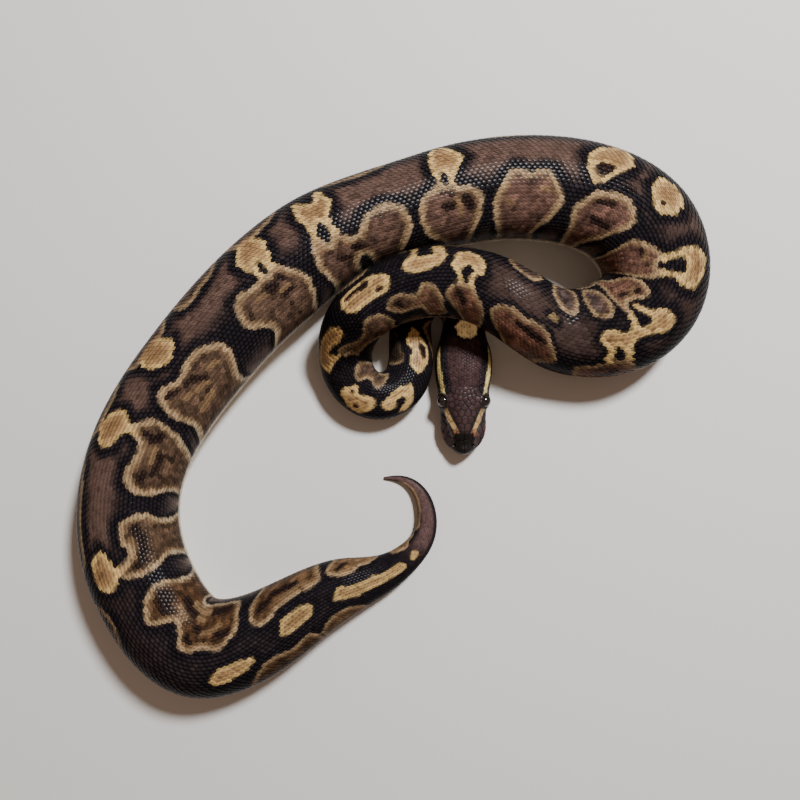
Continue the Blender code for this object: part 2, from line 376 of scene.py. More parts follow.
outer = buildSurface()
print(f"surface ready: {bodyLength:.0f} mm from nape to tail tip")


# Outlines of the markings, each a smooth closed curve through its points: distance from the nape and
# degrees round the body from the middle of the back, above 0 on the left flank
backSpots = (  # faint is how strong a whole spot shows, core how dark its middle gets
    {"edge": ((-1.9, 4), (-1.2, -12), (0.5, -21), (3, -24), (4.5, -5), (4.3, 20), (3, 36), (0.5, 37),
        (-1.2, 25))},
    {"edge": ((12, 0), (14, -15), (18, -18), (22, -8), (23, 5), (20, 16), (15, 16))},
    {"edge": ((35.2, 11), (37.5, -3), (40, -17), (42, -25), (44.2, -29), (46.5, -25), (48.5, -15),
        (50.2, -1), (49.5, 13), (47.8, 24), (45.8, 26), (43.7, 20), (42.2, 25), (41.3, 33), (39.2, 33),
        (36.8, 23)),
     "holes": (((40.5, -9), (42, -17), (45, -18), (45.8, -11), (44, -1), (41, 1)),)},
    {"edge": ((54.2, 5), (54.9, -8), (56.3, -15), (57.3, -28), (58.8, -40), (60.2, -41), (61, -31),
        (60, -22), (58.6, -14), (57.9, -4), (59, 2), (60.6, 0), (61, -9), (61.8, -16), (63.2, -17),
        (64.3, -10), (64.8, 4), (63, 14), (61, 23), (58.8, 27), (56.8, 24), (55.2, 15))},
    {"edge": ((66.2, 7), (67, -7), (67.8, -21), (69.2, -33), (70.8, -41), (72.5, -37), (74, -29),
        (75.5, -21), (76.4, -5), (75.5, 9), (75, 21), (73.8, 23), (72.5, 14), (71.5, 11), (70, 16),
        (68, 16), (66.5, 13)),
     "holes": (((70.4, -19), (71, -26), (71.8, -18), (71.1, -10)), ((73.4, 3), (74.3, -1), (74.7, 6),
        (74, 10)))},
    {"edge": ((81.5, -21), (82.5, -31), (83.8, -41), (85.5, -42), (88, -35), (90.5, -25), (92.5, -11),
        (93.2, 1), (92.8, 15), (91, 18), (89.2, 13), (88.5, 3), (87, -7), (85.8, -6), (85.5, 5),
        (86, 14), (84.8, 12), (83.5, -1), (82, -11))},
    {"edge": ((98.2, 3), (99, -11), (100.8, -22), (104, -23), (106, -21), (108, -24), (110.5, -19),
        (113, -11), (114.4, -1), (114, 13), (112.5, 21), (110.5, 25), (108, 22.5), (104, 22),
        (100.5, 19), (98.8, 13)),
     "holes": (((100.6, -13), (103, -18), (106, -18), (108, -19), (108.6, -11), (107.4, -5),
        (104.5, -7), (101.2, -7)), ((109, 9), (111.6, 9), (110.4, 18)))},
    {"edge": ((119.4, -3), (120, -15), (121.8, -25), (122.8, -35), (122.7, -48), (123.8, -62),
        (125, -56), (124.4, -45), (123.9, -30), (124.2, -21), (126, -19.5), (128, -21), (128.6, -30),
        (128.2, -44), (128.6, -64), (130.8, -64), (131, -45), (131.6, -30), (131.8, -17), (131, -5),
        (129.5, 1), (126.5, 7), (123.5, 10), (121, 6))},
    {"edge": ((133.2, -1), (134.2, -13), (135.2, -23), (136.5, -29), (138.5, -30.5), (140.5, -27),
        (142.5, -17), (143.2, -3), (142.8, 7), (141.2, 13), (140.9, 22), (141.2, 32), (139.6, 33),
        (139, 24), (139.7, 14), (140.4, 5), (139, -0.5), (136.9, 1), (136.3, 9), (137, 21),
        (137.4, 31), (136, 30), (135.2, 17), (134, 9))},
    {"edge": ((167.8, -6), (169, -12), (171, -12), (171.8, -6), (170, -3)), "faint": 0.55},
    {"edge": ((185.5, -1), (186.4, -9), (188, -13), (190, -13), (191.8, -9), (195, -9.5), (195.8, -16),
        (195.9, -28), (197.4, -28), (197.3, -16), (198, -8.5), (200.5, -8.5), (201.6, -13), (200, -24),
        (198.8, -35), (200, -37), (201.8, -27), (203.2, -19), (205, -16), (206.4, -6), (206, 6),
        (204, 13), (201.8, 9), (199.5, 4.5), (197, 3), (195, 6), (193.8, 14), (193.4, 30), (192, 30),
        (191.7, 14), (190.4, 8), (189.2, 14), (188.8, 30), (187, 30), (187.6, 12), (186.2, 5))},
    {"edge": ((213.2, -1), (214.3, -11), (215.3, -18), (215, -28), (215.6, -38), (217, -36),
        (216.8, -18), (217, -8), (218.5, -6), (220.6, -7), (221.6, -14), (220.4, -24), (220.3, -36),
        (222, -38), (222.8, -28), (222.9, -18), (223.7, -8), (223.3, 5), (221.9, 18), (220.2, 22.5),
        (217.5, 19), (215, 13), (213.7, 5))},
    {"edge": ((232.5, -5), (233.3, -11), (235.3, -19), (237.8, -19.5), (239.5, -13), (241.5, -6),
        (242, 3), (241.3, 15), (239.5, 21), (236, 21), (234, 13), (232.8, 3)),
     "holes": (((235.9, -10), (236.7, -13), (237.3, -9), (236.5, -7)),)},
    {"edge": ((248.6, 9), (249.4, 0), (251, -8), (253, -17), (255, -25), (258, -27.5), (259.8, -20),
        (261.1, -7), (260.8, 5), (259, 16), (256.5, 24), (254, 33), (251, 36), (249.8, 24)),
     "holes": (((252.8, -6), (254.2, -15), (257, -19), (258.7, -13), (258, -6), (255.5, -1.5),
        (253.5, -2)),)},
    {"edge": ((298.2, 1), (299.8, -6), (301.6, -13), (302.8, -21), (302.6, -28), (304, -28),
        (304.4, -20), (304.6, -11), (306, -9), (306.9, -13), (306.8, -24), (308, -24), (308.2, -13),
        (308.9, -4), (308.8, 8), (308, 20), (307, 30), (304, 38), (302, 30), (300.6, 18), (299, 7))},
    {"edge": ((341.9, 2), (342.8, -7), (344.5, -15), (344.3, -26), (343.6, -36), (345, -44),
        (346.2, -34), (346.6, -22), (347.5, -16), (349.2, -16), (350.3, -26), (350.8, -38),
        (352.2, -44), (353, -32), (352, -20), (352.4, -9), (353.5, 3), (353, 14), (352.3, 26),
        (351, 24), (349.4, 15), (347.6, 12), (346, 17), (345.7, 26), (344.4, 31), (343.4, 22),
        (342.5, 12))},
    {"edge": ((365.1, 5), (365.6, -4), (366.2, -13), (367.3, -22), (367, -32), (368.8, -35),
        (369.8, -25), (370, -14), (371.2, -11.5), (372, -18), (372.2, -28), (373.6, -33), (374, -20),
        (375.4, -12), (376.1, -2), (375.3, 8), (373.6, 15), (372.4, 24), (370, 30), (367.8, 22),
        (366.6, 13))},
    {"edge": ((407.2, -1), (408.6, -9), (411.5, -14.5), (414, -15), (416.5, -10.5), (418.7, -3),
        (419.6, 6), (419.6, 15), (420.5, 24), (415, 30), (409, 26), (409.4, 17), (408.9, 9))},
    {"edge": ((433.7, 0), (434.6, -8), (436, -15), (436.8, -22), (436.8, -34), (438.8, -36),
        (439.4, -28), (438.8, -20), (440.8, -14), (444, -9), (446, -3), (446.5, 6), (445.4, 15),
        (442.8, 20), (443, 30), (439, 30), (439, 19), (437, 15), (435, 7))},
    {"edge": ((477.2, -1), (478.1, -9), (480, -14.5), (482.4, -16.5), (483, -23), (482.2, -34),
        (484.5, -36), (485.8, -25), (485.8, -18), (488, -14), (489.5, -4), (488.9, 7), (486.5, 13.5),
        (482.5, 13.5), (479.3, 9))},
    {"edge": ((528.3, 5), (528.8, 13), (530, 16), (532, 16), (536, 13), (539, 10), (541.5, 5),
        (541, -2), (538, -5), (533, -6), (530.5, -4), (529, 0)), "core": 0.21},
    {"edge": ((552.3, 1), (553, -7), (554.3, -15), (556, -17), (559.5, -16), (562.5, -16),
        (564.5, -11), (565.4, -4), (564.5, 5), (562.5, 9), (558, 10), (554.5, 7)),
     "core": 0.55},
    {"edge": ((572.3, 7), (572.8, -1), (574.3, -11), (576.5, -13), (579.5, -9), (585, -11), (587, -15),
        (591, -12), (594, -15), (597, -15), (598, -5), (598.8, 5), (598.3, 19), (596, 23), (593.5, 17),
        (586, 17), (580.5, 19), (577, 14)), "core": 0.45},
    {"edge": ((601.3, 13), (602, -3), (603.3, -13), (604.5, -7), (604.8, 5), (604.3, 17), (602.3, 21)),
     "core": 0.3},
)

leftFlank = (
    ((8, 80), (10, 58), (15, 48), (20, 55), (23, 80), (22, 130), (10, 130)),
    ((43.5, 50), (44.5, 42), (46.2, 38.5), (48, 45), (49.3, 58), (50, 72), (49.6, 100), (44, 112),
     (38.5, 90), (37.5, 62), (40, 55)),
    ((56, 75), (58.2, 65), (60.6, 58), (62.6, 49), (65, 43), (67, 42), (68.8, 46), (70, 55),
     (71.8, 54), (73.4, 49), (74.2, 41), (74.9, 33.5), (76.6, 31), (78.6, 37), (81, 45), (82.5, 54),
     (81.6, 66), (81.2, 80), (80, 95), (79, 125), (68, 125), (65, 100), (62, 90), (58.5, 83)),
    ((85.6, 38), (85.1, 50), (87, 59), (90, 69), (93, 80), (96, 92), (99, 106), (101, 125), (110, 125),
     (108.4, 98), (109.3, 82), (108.4, 66), (106.6, 54), (103.8, 45.5), (101, 41), (98.6, 42),
     (96, 49), (94, 50.5), (91.5, 46), (89.8, 38), (89, 26), (87.6, 14), (85.4, 12), (85.2, 24)),
    ((108.7, 50), (110, 42), (112.5, 35), (115, 33.5), (117.5, 38), (119.5, 43), (121.3, 42),
     (122.5, 34), (124.3, 28), (126.5, 30), (128.6, 37), (130, 48), (131, 60), (131.2, 74),
     (132.8, 88), (130, 98), (125, 93), (123.2, 82), (121.8, 72), (119, 71.5), (116, 73.5), (113, 69),
     (110.3, 60)),
    ((131.4, 50), (132.5, 38), (134, 32), (136.2, 29), (138, 29), (140, 29), (141.6, 33), (143.6, 41),
     (146, 50), (147.7, 60), (148.4, 75), (148.8, 90), (148.3, 125), (142, 125), (140, 101), (138, 86),
     (134.8, 69), (132.6, 59)),
    ((149.4, 51), (150, 41), (151.8, 31), (154.5, 23.5), (159, 21), (162.5, 18), (164.8, 13),
     (167.5, 11), (169.8, 13.5), (172, 21), (174, 32), (175, 44), (174.3, 55), (172, 65), (170.8, 78),
     (170, 98), (168, 125), (162, 125), (159.5, 95), (156.5, 76), (152.5, 65)),
    ((179.8, 48), (181.5, 41), (184.5, 36), (187, 31), (189.5, 28), (191.5, 28), (193.4, 30),
     (194, 42), (195.8, 56), (197, 75), (196, 110), (183, 110), (180.5, 70)),
    ((201, 76), (204, 64), (209, 61), (213, 66), (215, 80), (214, 120), (202, 120)),
    ((222, 62), (225, 52), (231, 48), (237, 51), (240, 64), (240, 120), (222, 120)),
    ((248.5, 54), (250.5, 37), (254, 33), (258, 39), (262, 54), (263, 120), (248, 120)),
    ((275, 54), (277, 42), (281, 37), (286, 36), (290, 40), (292.5, 54), (292, 120), (276, 120)),
    ((321, 44), (323, 34), (327, 29.5), (332, 28.5), (337, 30), (340.8, 34.5), (343, 44), (344, 70),
     (342, 120), (324, 120), (321, 75)),
    ((356.8, 42), (358.4, 29), (360.6, 22), (364, 18), (368, 17), (372, 19), (374.6, 27), (376.6, 39),
     (377.5, 60), (376, 120), (358, 120), (356.5, 70)),
    ((380.2, 42), (381, 29), (383, 20.5), (387, 16.5), (391, 13.5), (394.5, 11), (397.4, 13.5),
     (399.4, 23), (400.4, 38), (400.5, 70), (399, 120), (382, 120), (380, 70)),
    ((404.2, 42), (404.5, 27), (406.4, 18), (409.6, 13), (414, 14), (419, 14), (422.2, 20), (424, 30),
     (424.8, 44), (424, 120), (405, 120)),
    ((428.4, 44), (429.2, 31), (431.4, 24), (436, 21.5), (442, 21), (445, 28), (446.6, 42), (447, 120),
     (430, 120)),
    ((451.6, 44), (452.6, 31), (456, 25.5), (461, 21.5), (467, 20), (474, 20), (479, 22), (481.8, 30),
     (483, 44), (482, 120), (453, 120)),
    ((491.4, 46), (492.4, 29), (494.6, 19.5), (498, 15.4), (501.5, 19.5), (504.2, 27.5), (506, 46),
     (506, 120), (491, 120)),
    ((536.6, 50), (537.8, 36), (540, 27), (542.6, 19.5), (545, 17.5), (549, 21.5), (552, 27.5),
     (554.4, 30.5), (557.4, 27), (560, 31), (561.8, 42), (562.5, 60), (561, 120), (540, 120),
     (537, 70)),
    ((563.2, 58), (564.4, 44), (567, 36), (571, 30.5), (574, 30), (577.5, 36), (580.5, 48),
     (581.6, 62), (580, 120), (566, 120)),
)

rightFlank = (
    ((6, -90), (7, -62), (11, -48), (16, -50), (20, -64), (21, -120), (8, -120)),
    ((28, -70), (29, -50), (30.2, -37), (32.5, -24), (34.8, -16), (37.5, -26), (40.5, -36),
     (43.5, -48), (45, -62), (46, -115), (29, -115)),
    ((58.5, -110), (60.2, -66), (62.5, -54), (65.5, -52), (67.5, -62), (70, -110)),
    ((81, -110), (82.6, -60), (83.6, -46), (86.5, -44), (88.5, -58), (91, -110)),
    ((99, -110), (100.5, -60), (102, -42), (106, -36), (109, -38), (110.4, -52), (111, -110)),
    ((116, -110), (118.5, -64), (121, -54), (123, -56), (124.5, -76), (125, -110)),
    ((129, -110), (130, -70), (133, -58), (137, -56), (141, -62), (143, -80), (143, -110)),
    ((148.6, -50), (150, -38), (153, -31), (156, -29.5), (159, -35), (160.5, -48), (159.5, -62),
     (155, -70), (150.5, -64)),
    ((165, -60), (166, -45), (167.2, -36), (170, -28), (174, -23.5), (176.5, -24), (178.6, -36),
     (178, -52), (176, -70), (170, -80), (166, -72)),
    ((180.6, -66), (181.3, -50), (182.6, -37), (184.8, -29), (187.5, -25), (190.2, -29), (191.9, -41),
     (190.8, -51), (189.2, -61), (186.5, -70), (184, -72), (182, -76)),
    ((178.5, -100), (180, -80), (183, -81), (187, -81), (189.2, -88), (188, -110)),
    ((189.4, -88), (191, -70), (191.7, -57), (193, -45), (194.6, -34), (196, -27), (197.4, -27),
     (197, -38), (198.5, -42), (201, -40), (203.5, -35.5), (206, -32.5), (208.6, -39), (210.4, -49),
     (210.5, -60), (208.8, -69), (205, -76), (199, -81), (195, -90), (191, -105)),
    ((211, -125), (210.6, -92), (211.3, -70), (211.8, -53), (213.2, -41), (215, -34), (216.8, -33),
     (218, -38), (220, -36), (221.5, -33), (223.5, -34), (226, -40), (229, -46), (232, -53),
     (233.8, -64), (234.6, -80), (237, -98), (239, -125)),
    ((238, -47), (239.3, -57), (242, -68), (246, -82), (250.5, -92), (254, -105), (256, -125),
     (262, -125), (262.4, -98), (262, -80), (262.4, -62), (261.2, -53), (258.8, -44), (256.5, -36),
     (252.5, -31.5), (246.5, -28.8), (241.5, -34)),
    ((266.2, -51), (267.6, -62), (270, -76), (273.6, -89), (275.4, -102), (275.5, -125), (289.6, -125),
     (289.6, -100), (290.8, -80), (291.1, -62), (290.3, -48), (288.3, -38), (286.2, -27),
     (283.6, -19.5), (281, -20.5), (278.5, -24), (275, -21), (271.8, -22), (269.6, -32), (267.4, -42)),
    ((294.1, -51), (295.2, -60), (296.8, -76), (298.8, -89), (300.5, -104), (301, -125), (308, -125),
     (311, -98), (313.4, -90), (315.8, -81), (316.8, -68), (317, -54), (316, -39), (313.6, -30),
     (310.5, -24.5), (307.4, -21), (305.2, -25), (303.4, -24), (301.5, -30), (298, -32.5),
     (295.4, -40)),
    ((319.7, -51), (320.6, -64), (323.4, -80), (325, -95), (326, -125), (335, -125), (336.4, -90),
     (337.6, -76), (340, -74), (341.4, -88), (342, -125), (355, -125), (354, -95), (354.6, -76),
     (355.9, -60), (355.2, -48), (353.6, -34), (351.8, -24), (350.2, -34), (348.6, -42), (347, -38),
     (345, -30), (344, -34), (342.4, -41), (340, -45), (337.5, -44), (335.5, -36), (333.4, -27),
     (329, -24), (325, -24), (322, -30), (320.3, -40)),
    ((360.1, -61), (361, -76), (362.4, -90), (364.5, -106), (365, -125), (387, -125), (386, -102),
     (383.5, -91), (382.4, -80), (384.4, -71), (387.2, -63), (388.4, -51), (387, -39), (384.6, -28.5),
     (381, -26.5), (377.5, -30), (374, -29), (372.3, -26), (370.8, -31), (369.3, -27), (367.3, -28),
     (364, -38.5), (361.5, -49)),
    ((397.1, -55), (398.8, -72), (401.6, -85), (402.6, -103), (403, -125), (432, -125), (429.6, -100),
     (427, -86), (427, -74), (427.6, -60), (427.2, -47), (426, -35.5), (424, -27.5), (421, -27),
     (418.2, -31.5), (415.5, -35), (412.5, -32), (409, -29), (404, -31), (400.3, -39), (397.6, -48)),
    ((430.7, -46), (431.4, -60), (432.8, -74), (435.2, -86), (437, -98), (440, -112), (441, -125),
     (457, -125), (456, -98), (456, -84), (457.6, -69), (458.4, -54), (456.8, -40), (454, -32),
     (450.5, -31), (447, -35), (444, -38), (441, -36), (439.6, -28), (438, -24), (436, -22.5),
     (433.8, -27), (431.6, -37)),
    ((465.1, -59), (467, -76), (468, -92), (467.6, -125), (486.5, -125), (485.6, -96), (484.6, -80),
     (486.6, -68), (488, -55), (488.4, -40), (487.4, -27), (485.8, -22), (483, -23), (481.6, -31),
     (479.6, -37), (477.4, -36), (475.6, -30), (472.5, -29), (469.5, -31), (467, -39), (465.8, -48)),
    ((492.6, -50), (493.6, -66), (495.4, -82), (496.4, -98), (496, -125), (513, -125), (512.5, -101),
     (514, -92), (521, -92), (530, -96), (538, -96), (542, -89), (543, -79), (541.9, -65), (541, -52),
     (539, -40), (536, -35), (533, -29), (530, -29), (527, -33), (524, -32), (521, -26.5), (518, -25),
     (515.6, -32), (513, -41), (510, -47), (508, -44), (506, -30), (504, -21.5), (501.5, -22),
     (498.5, -28), (495, -37)),
    ((545, -44), (546.2, -58), (548.4, -72), (551, -86), (553, -110), (570, -110), (571, -84),
     (571.2, -62), (571.2, -47), (570, -37), (567, -33), (560, -34.5), (555, -33.5), (552, -28),
     (549, -27), (546.4, -32)),
    ((573.2, -48), (573.6, -64), (575.4, -84), (576, -110), (591, -110), (591, -84), (590.4, -71),
     (588.4, -60), (586.5, -52), (583.8, -49), (582, -40), (580, -34), (577.4, -33), (574.8, -39)),
    ((596.5, -110), (597.2, -65), (599, -52), (601.5, -44), (603.2, -38), (604.8, -50), (606, -64),
     (609.5, -66), (610, -110)),
    ((611, -120), (611.5, -60), (614, -44), (616, -48), (621, -36), (626, -28), (630, -22), (634, -34),
     (637, -120)),
)

# Patches inside the flank blotches: both ends as above, and half the width in mm
darkPatches = (
    ((197, -52), (200, -52), 0.9), ((203.8, -46), (205.6, -46), 1.1), ((223.5, -54), (228, -53), 0.8),
    ((246, -66), (254, -64), 1.0), ((249, -42), (256, -46), 0.8), ((299.5, -53), (300.5, -44), 1.8),
    ((304.5, -52), (308, -49), 1.0), ((305, -34), (305.3, -27), 1.1), ((338.3, -64), (340.3, -58), 1.3),
    ((341, -70), (348, -62), 0.8), ((348.6, -46), (348.6, -24), 1.3), ((371.5, -47), (373.6, -44), 1.6),
    ((367.8, -44), (370.5, -32), 0.9), ((367, -58), (371, -60), 0.7), ((410, -58), (413, -47), 0.9),
    ((415, -45), (423, -38), 0.8), ((434.5, -58), (438, -50), 1.2), ((436.5, -45), (437.5, -32), 0.8),
    ((442, -67), (450, -62), 0.8), ((450, -53), (452.5, -50), 1.2), ((470, -48), (474, -52), 1.4),
    ((475, -55), (483, -50), 1.1), ((484, -44), (485.5, -34), 0.9), ((498, -54), (503, -48), 2.0),
    ((505, -74), (516, -68), 1.6), ((519, -56), (526, -52), 1.1), ((531.5, -48), (536, -46), 1.1),
    ((529, -78), (538, -80), 1.4), ((517, -42), (520, -38), 1.0), ((549.5, -50), (553, -54), 1.2),
    ((555, -62), (563, -56), 1.1), ((576.5, -50), (579, -64), 0.8), ((112, 46), (117, 43), 0.9),
    ((113, 44), (114.5, 58), 0.7), ((160, 34), (170, 28), 0.9), ((136, 40), (139, 60), 1.0),
    ((138.3, 4), (138.2, 26), 1.0), ((187.5, 60), (189, 48), 1.0),
)
tanPatches = (
    ((200.5, -53), (206, -53), 0.6), ((202.3, -44), (201.3, -49), 0.5), ((221.5, -51), (224, -50), 0.9),
    ((272, -43), (274, -42), 0.8), ((284, -58), (286.5, -55), 0.8), ((303, -62), (303, -42), 0.9),
    ((337, -72), (342, -69), 0.7), ((341, -52), (344, -50), 0.6), ((367.5, -53), (371.5, -53), 0.7),
    ((375.5, -46), (379, -44), 0.9), ((403.5, -57), (406.5, -55), 1.0), ((410.5, -64), (420, -54), 0.8),
    ((440, -55), (446, -55), 0.8), ((440.5, -44), (449, -43), 0.8), ((474.5, -43.5), (481.5, -42), 1.0),
    ((510, -81), (527, -80), 1.5), ((517, -69), (524, -68), 0.9), ((505.5, -62), (512, -58), 1.0),
    ((524, -50), (534, -58), 0.8), ((556, -45), (566, -48), 1.0), ((119, 46), (122.4, 45), 0.8),
    ((70.5, 64), (74, 52), 1.3), ((413, -76), (420, -80), 1.2),
)

paint = {  # base colours as seen in even light, 0 to 255, save the painted light and shade noted below
    "spotRim": (166, 137, 88), "spot": (132, 103, 70), "spotCore": (103, 78, 53), "hole": (30, 21, 19),
    "flankRim": (126, 104, 78), "flankRimLow": (138, 124, 102), "dark": (30, 21, 19),
    "tan": (97, 76, 54), "black": (20, 17, 20), "brown": (69, 53, 47), "lowFlank": (84, 70, 64),
    # the nape spot is painted paler than its own colour, painted light where the crossing coil's shadow
    # falls on it
    "belly": (206, 194, 174), "tail": (72, 55, 53), "napeSpot": (246, 230, 180),
    # inside of the flank blotches, by distance from the nape; from about 385 to 540 partly their own
    # colour and partly painted shade where these blotches face the lamp
    "flank": ((0, 78, 62, 54), (85, 74, 57, 47), (120, 88, 63, 49), (150, 98, 66, 53),
              (215, 88, 63, 53), (250, 82, 59, 51), (300, 74, 55, 48), (345, 71, 53, 45),
              (385, 68, 52, 42), (480, 63, 48, 37), (505, 60, 42, 29), (540, 62, 44, 30),
              (560, 76, 55, 38), (600, 120, 92, 64), (641, 120, 92, 64)),
    "coilFlank": (62, 50, 47),  # and on the inner side of the crossing coil
    # painted shade where the left blotches face into the small coil, by the neck, and spots darker near
    # the tail
    "coilShade": ((33, 1), (37, 0.45), (46, 0.5), (50, 0.9)),
    "spotTone": ((520, 1), (560, 0.86), (641, 0.86)),
    # how brown the ground between the markings is: 0 leaves it black
    "brownness": ((-42, 0.1), (130, 0.12), (150, 0.75), (190, 0.7), (230, 0.8), (262, 1),
                  (480, 1), (498, 0.3), (598, 0.15), (610, 1), (641, 1)),
    # width of the black round the markings
    "halo": ((0, 4.2), (135, 4.0), (148, 1.7), (180, 1.7), (192, 3.4), (641, 3.2)),
    "spotEdge": 1.0,   # width of the bright edge of the spots, and of the flank blotches
    "flankEdge": ((0, 1.1), (190, 1.2), (230, 1.8), (480, 1.9), (530, 1.3), (641, 1.0)),
    # how much darker a scale's rim is than its middle, by how light it is: pale ones have paler rims,
    # and on black ones the light middle is a painted glint
    "scaleRimAndGlint": ((0.008, 2.8), (0.02, 0.5), (0.04, -0.9), (0.08, -1.15), (0.2, -1.05), (1.0, -0.3)),
    # tone of the skin between the scales, by how light it is; above 1 on pale scales, painted light
    # against the shade in the gaps
    "between": ((0.008, 0.2), (0.02, 0.3), (0.04, 1.1), (0.12, 1.5), (1.0, 1.2)),
    "rimAt": (0.6, 0.56),  # where that rim lies, over a scale's pitch and spacing
    "darkest": 0.45,   # no rim gets a lower tone
    "under": 0.2,      # tone of what lies under a scale, painted shade
    "follow": 0.55,    # how far a scale takes its own colour: 1 is one colour a scale
}
ripples = {  # length and seed of the slight waves that keep the colours and edges from being even
    "ground": (7.0, 1), "flank": (6.5, 3), "flankFine": (2.9, 5), "flankEdge": (4.0, 7),
    "spotEdge": (3.5, 9), "head": (6.0, 2), "headFine": (2.0, 4), "muzzle": (4.5, 6), "skin": (9.0, 11),
}


def closedCurve(points):  # a smooth curve, as distance from the nape and mm round the body
    points = np.array(points, float)
    before = np.roll(points, 1, axis=0)
    after = np.roll(points, -1, axis=0)
    beyond = np.roll(points, -2, axis=0)
    parts = []
    for t in np.arange(0, 1, 0.25):
        first = 2 * points + (after - before) * t
        second = (2 * before - 5 * points + 4 * after - beyond) * t * t
        third = (3 * points - before - 3 * after + beyond) * t**3
        parts.append((first + second + third) / 2)
    curve = np.stack(parts, axis=1).reshape(-1, 2)
    curve[:, 1] *= girthAt(curve[:, 0]) / 360
    return curve


def outsideOf(curve, s, across, reach=9.0):  # distance from a closed curve, below 0 inside it
    result = np.full(len(s), reach)
    low = curve.min(axis=0) - reach
    high = curve.max(axis=0) + reach
    near = np.nonzero((s > low[0]) & (s < high[0]) & (across > low[1]) & (across < high[1]))[0]
    for part in np.array_split(near, len(near) // 20000 + 1):
        if len(part) == 0:
            continue
        x = s[part][:, None]
        y = across[part][:, None]
        x0, y0 = curve.T
        x1, y1 = np.roll(curve, -1, axis=0).T
        dx = x1 - x0
        dy = y1 - y0
        t = np.clip(((x - x0) * dx + (y - y0) * dy) / np.maximum(dx * dx + dy * dy, 1e-9), 0, 1)
        away = np.hypot(x - x0 - t * dx, y - y0 - t * dy).min(axis=1)
        crosses = (y0 > y) != (y1 > y)
        where = x0 + (y - y0) * dx / np.where(np.abs(dy) < 1e-9, 1e-9, dy)
        inside = np.sum(crosses & (x < where), axis=1) % 2 == 1
        result[part] = np.minimum(np.where(inside, -away, away), reach)
    return result


def fromPatch(patch, s, across):  # distance outside a short rounded bar
    (s0, a0), (s1, a1), half = patch
    x0 = s0
    y0 = a0 * float(girthAt(s0)) / 360
    dx = s1 - s0
    dy = a1 * float(girthAt(s1)) / 360 - y0
    t = np.clip(((s - x0) * dx + (across - y0) * dy) / (dx * dx + dy * dy), 0, 1)
    return np.hypot(s - x0 - t * dx, across - y0 - t * dy) - half


def mixed(colour, other, share):
    return colour + (np.asarray(other, float) - colour) * np.clip(share, 0, 1)[:, None]


def plain(colour, count):  # one colour for so many places
    return np.tile(np.array(colour, float), (count, 1))


def wave(s, across, size, seed):  # smooth seeded ripple between -1 and 1
    value = np.zeros(len(s))
    for k in range(4):
        angle = seed * 1.7 + k * 2.4
        along = s * math.cos(angle) + across * math.sin(angle)
        phase = along * 2 * math.pi / (size * (0.7 + 0.25 * k))
        value += np.sin(phase + seed * 3.1 + k)
    return value / 4


curves = {
    "spots": [(closedCurve(spot["edge"]), [closedCurve(h) for h in spot.get("holes", ())], spot)
              for spot in backSpots],
    "flanks": [closedCurve(edge) for edge in leftFlank + rightFlank],
}
print(f"{len(backSpots)} back spots and {len(leftFlank) + len(rightFlank)} flank blotches drawn")


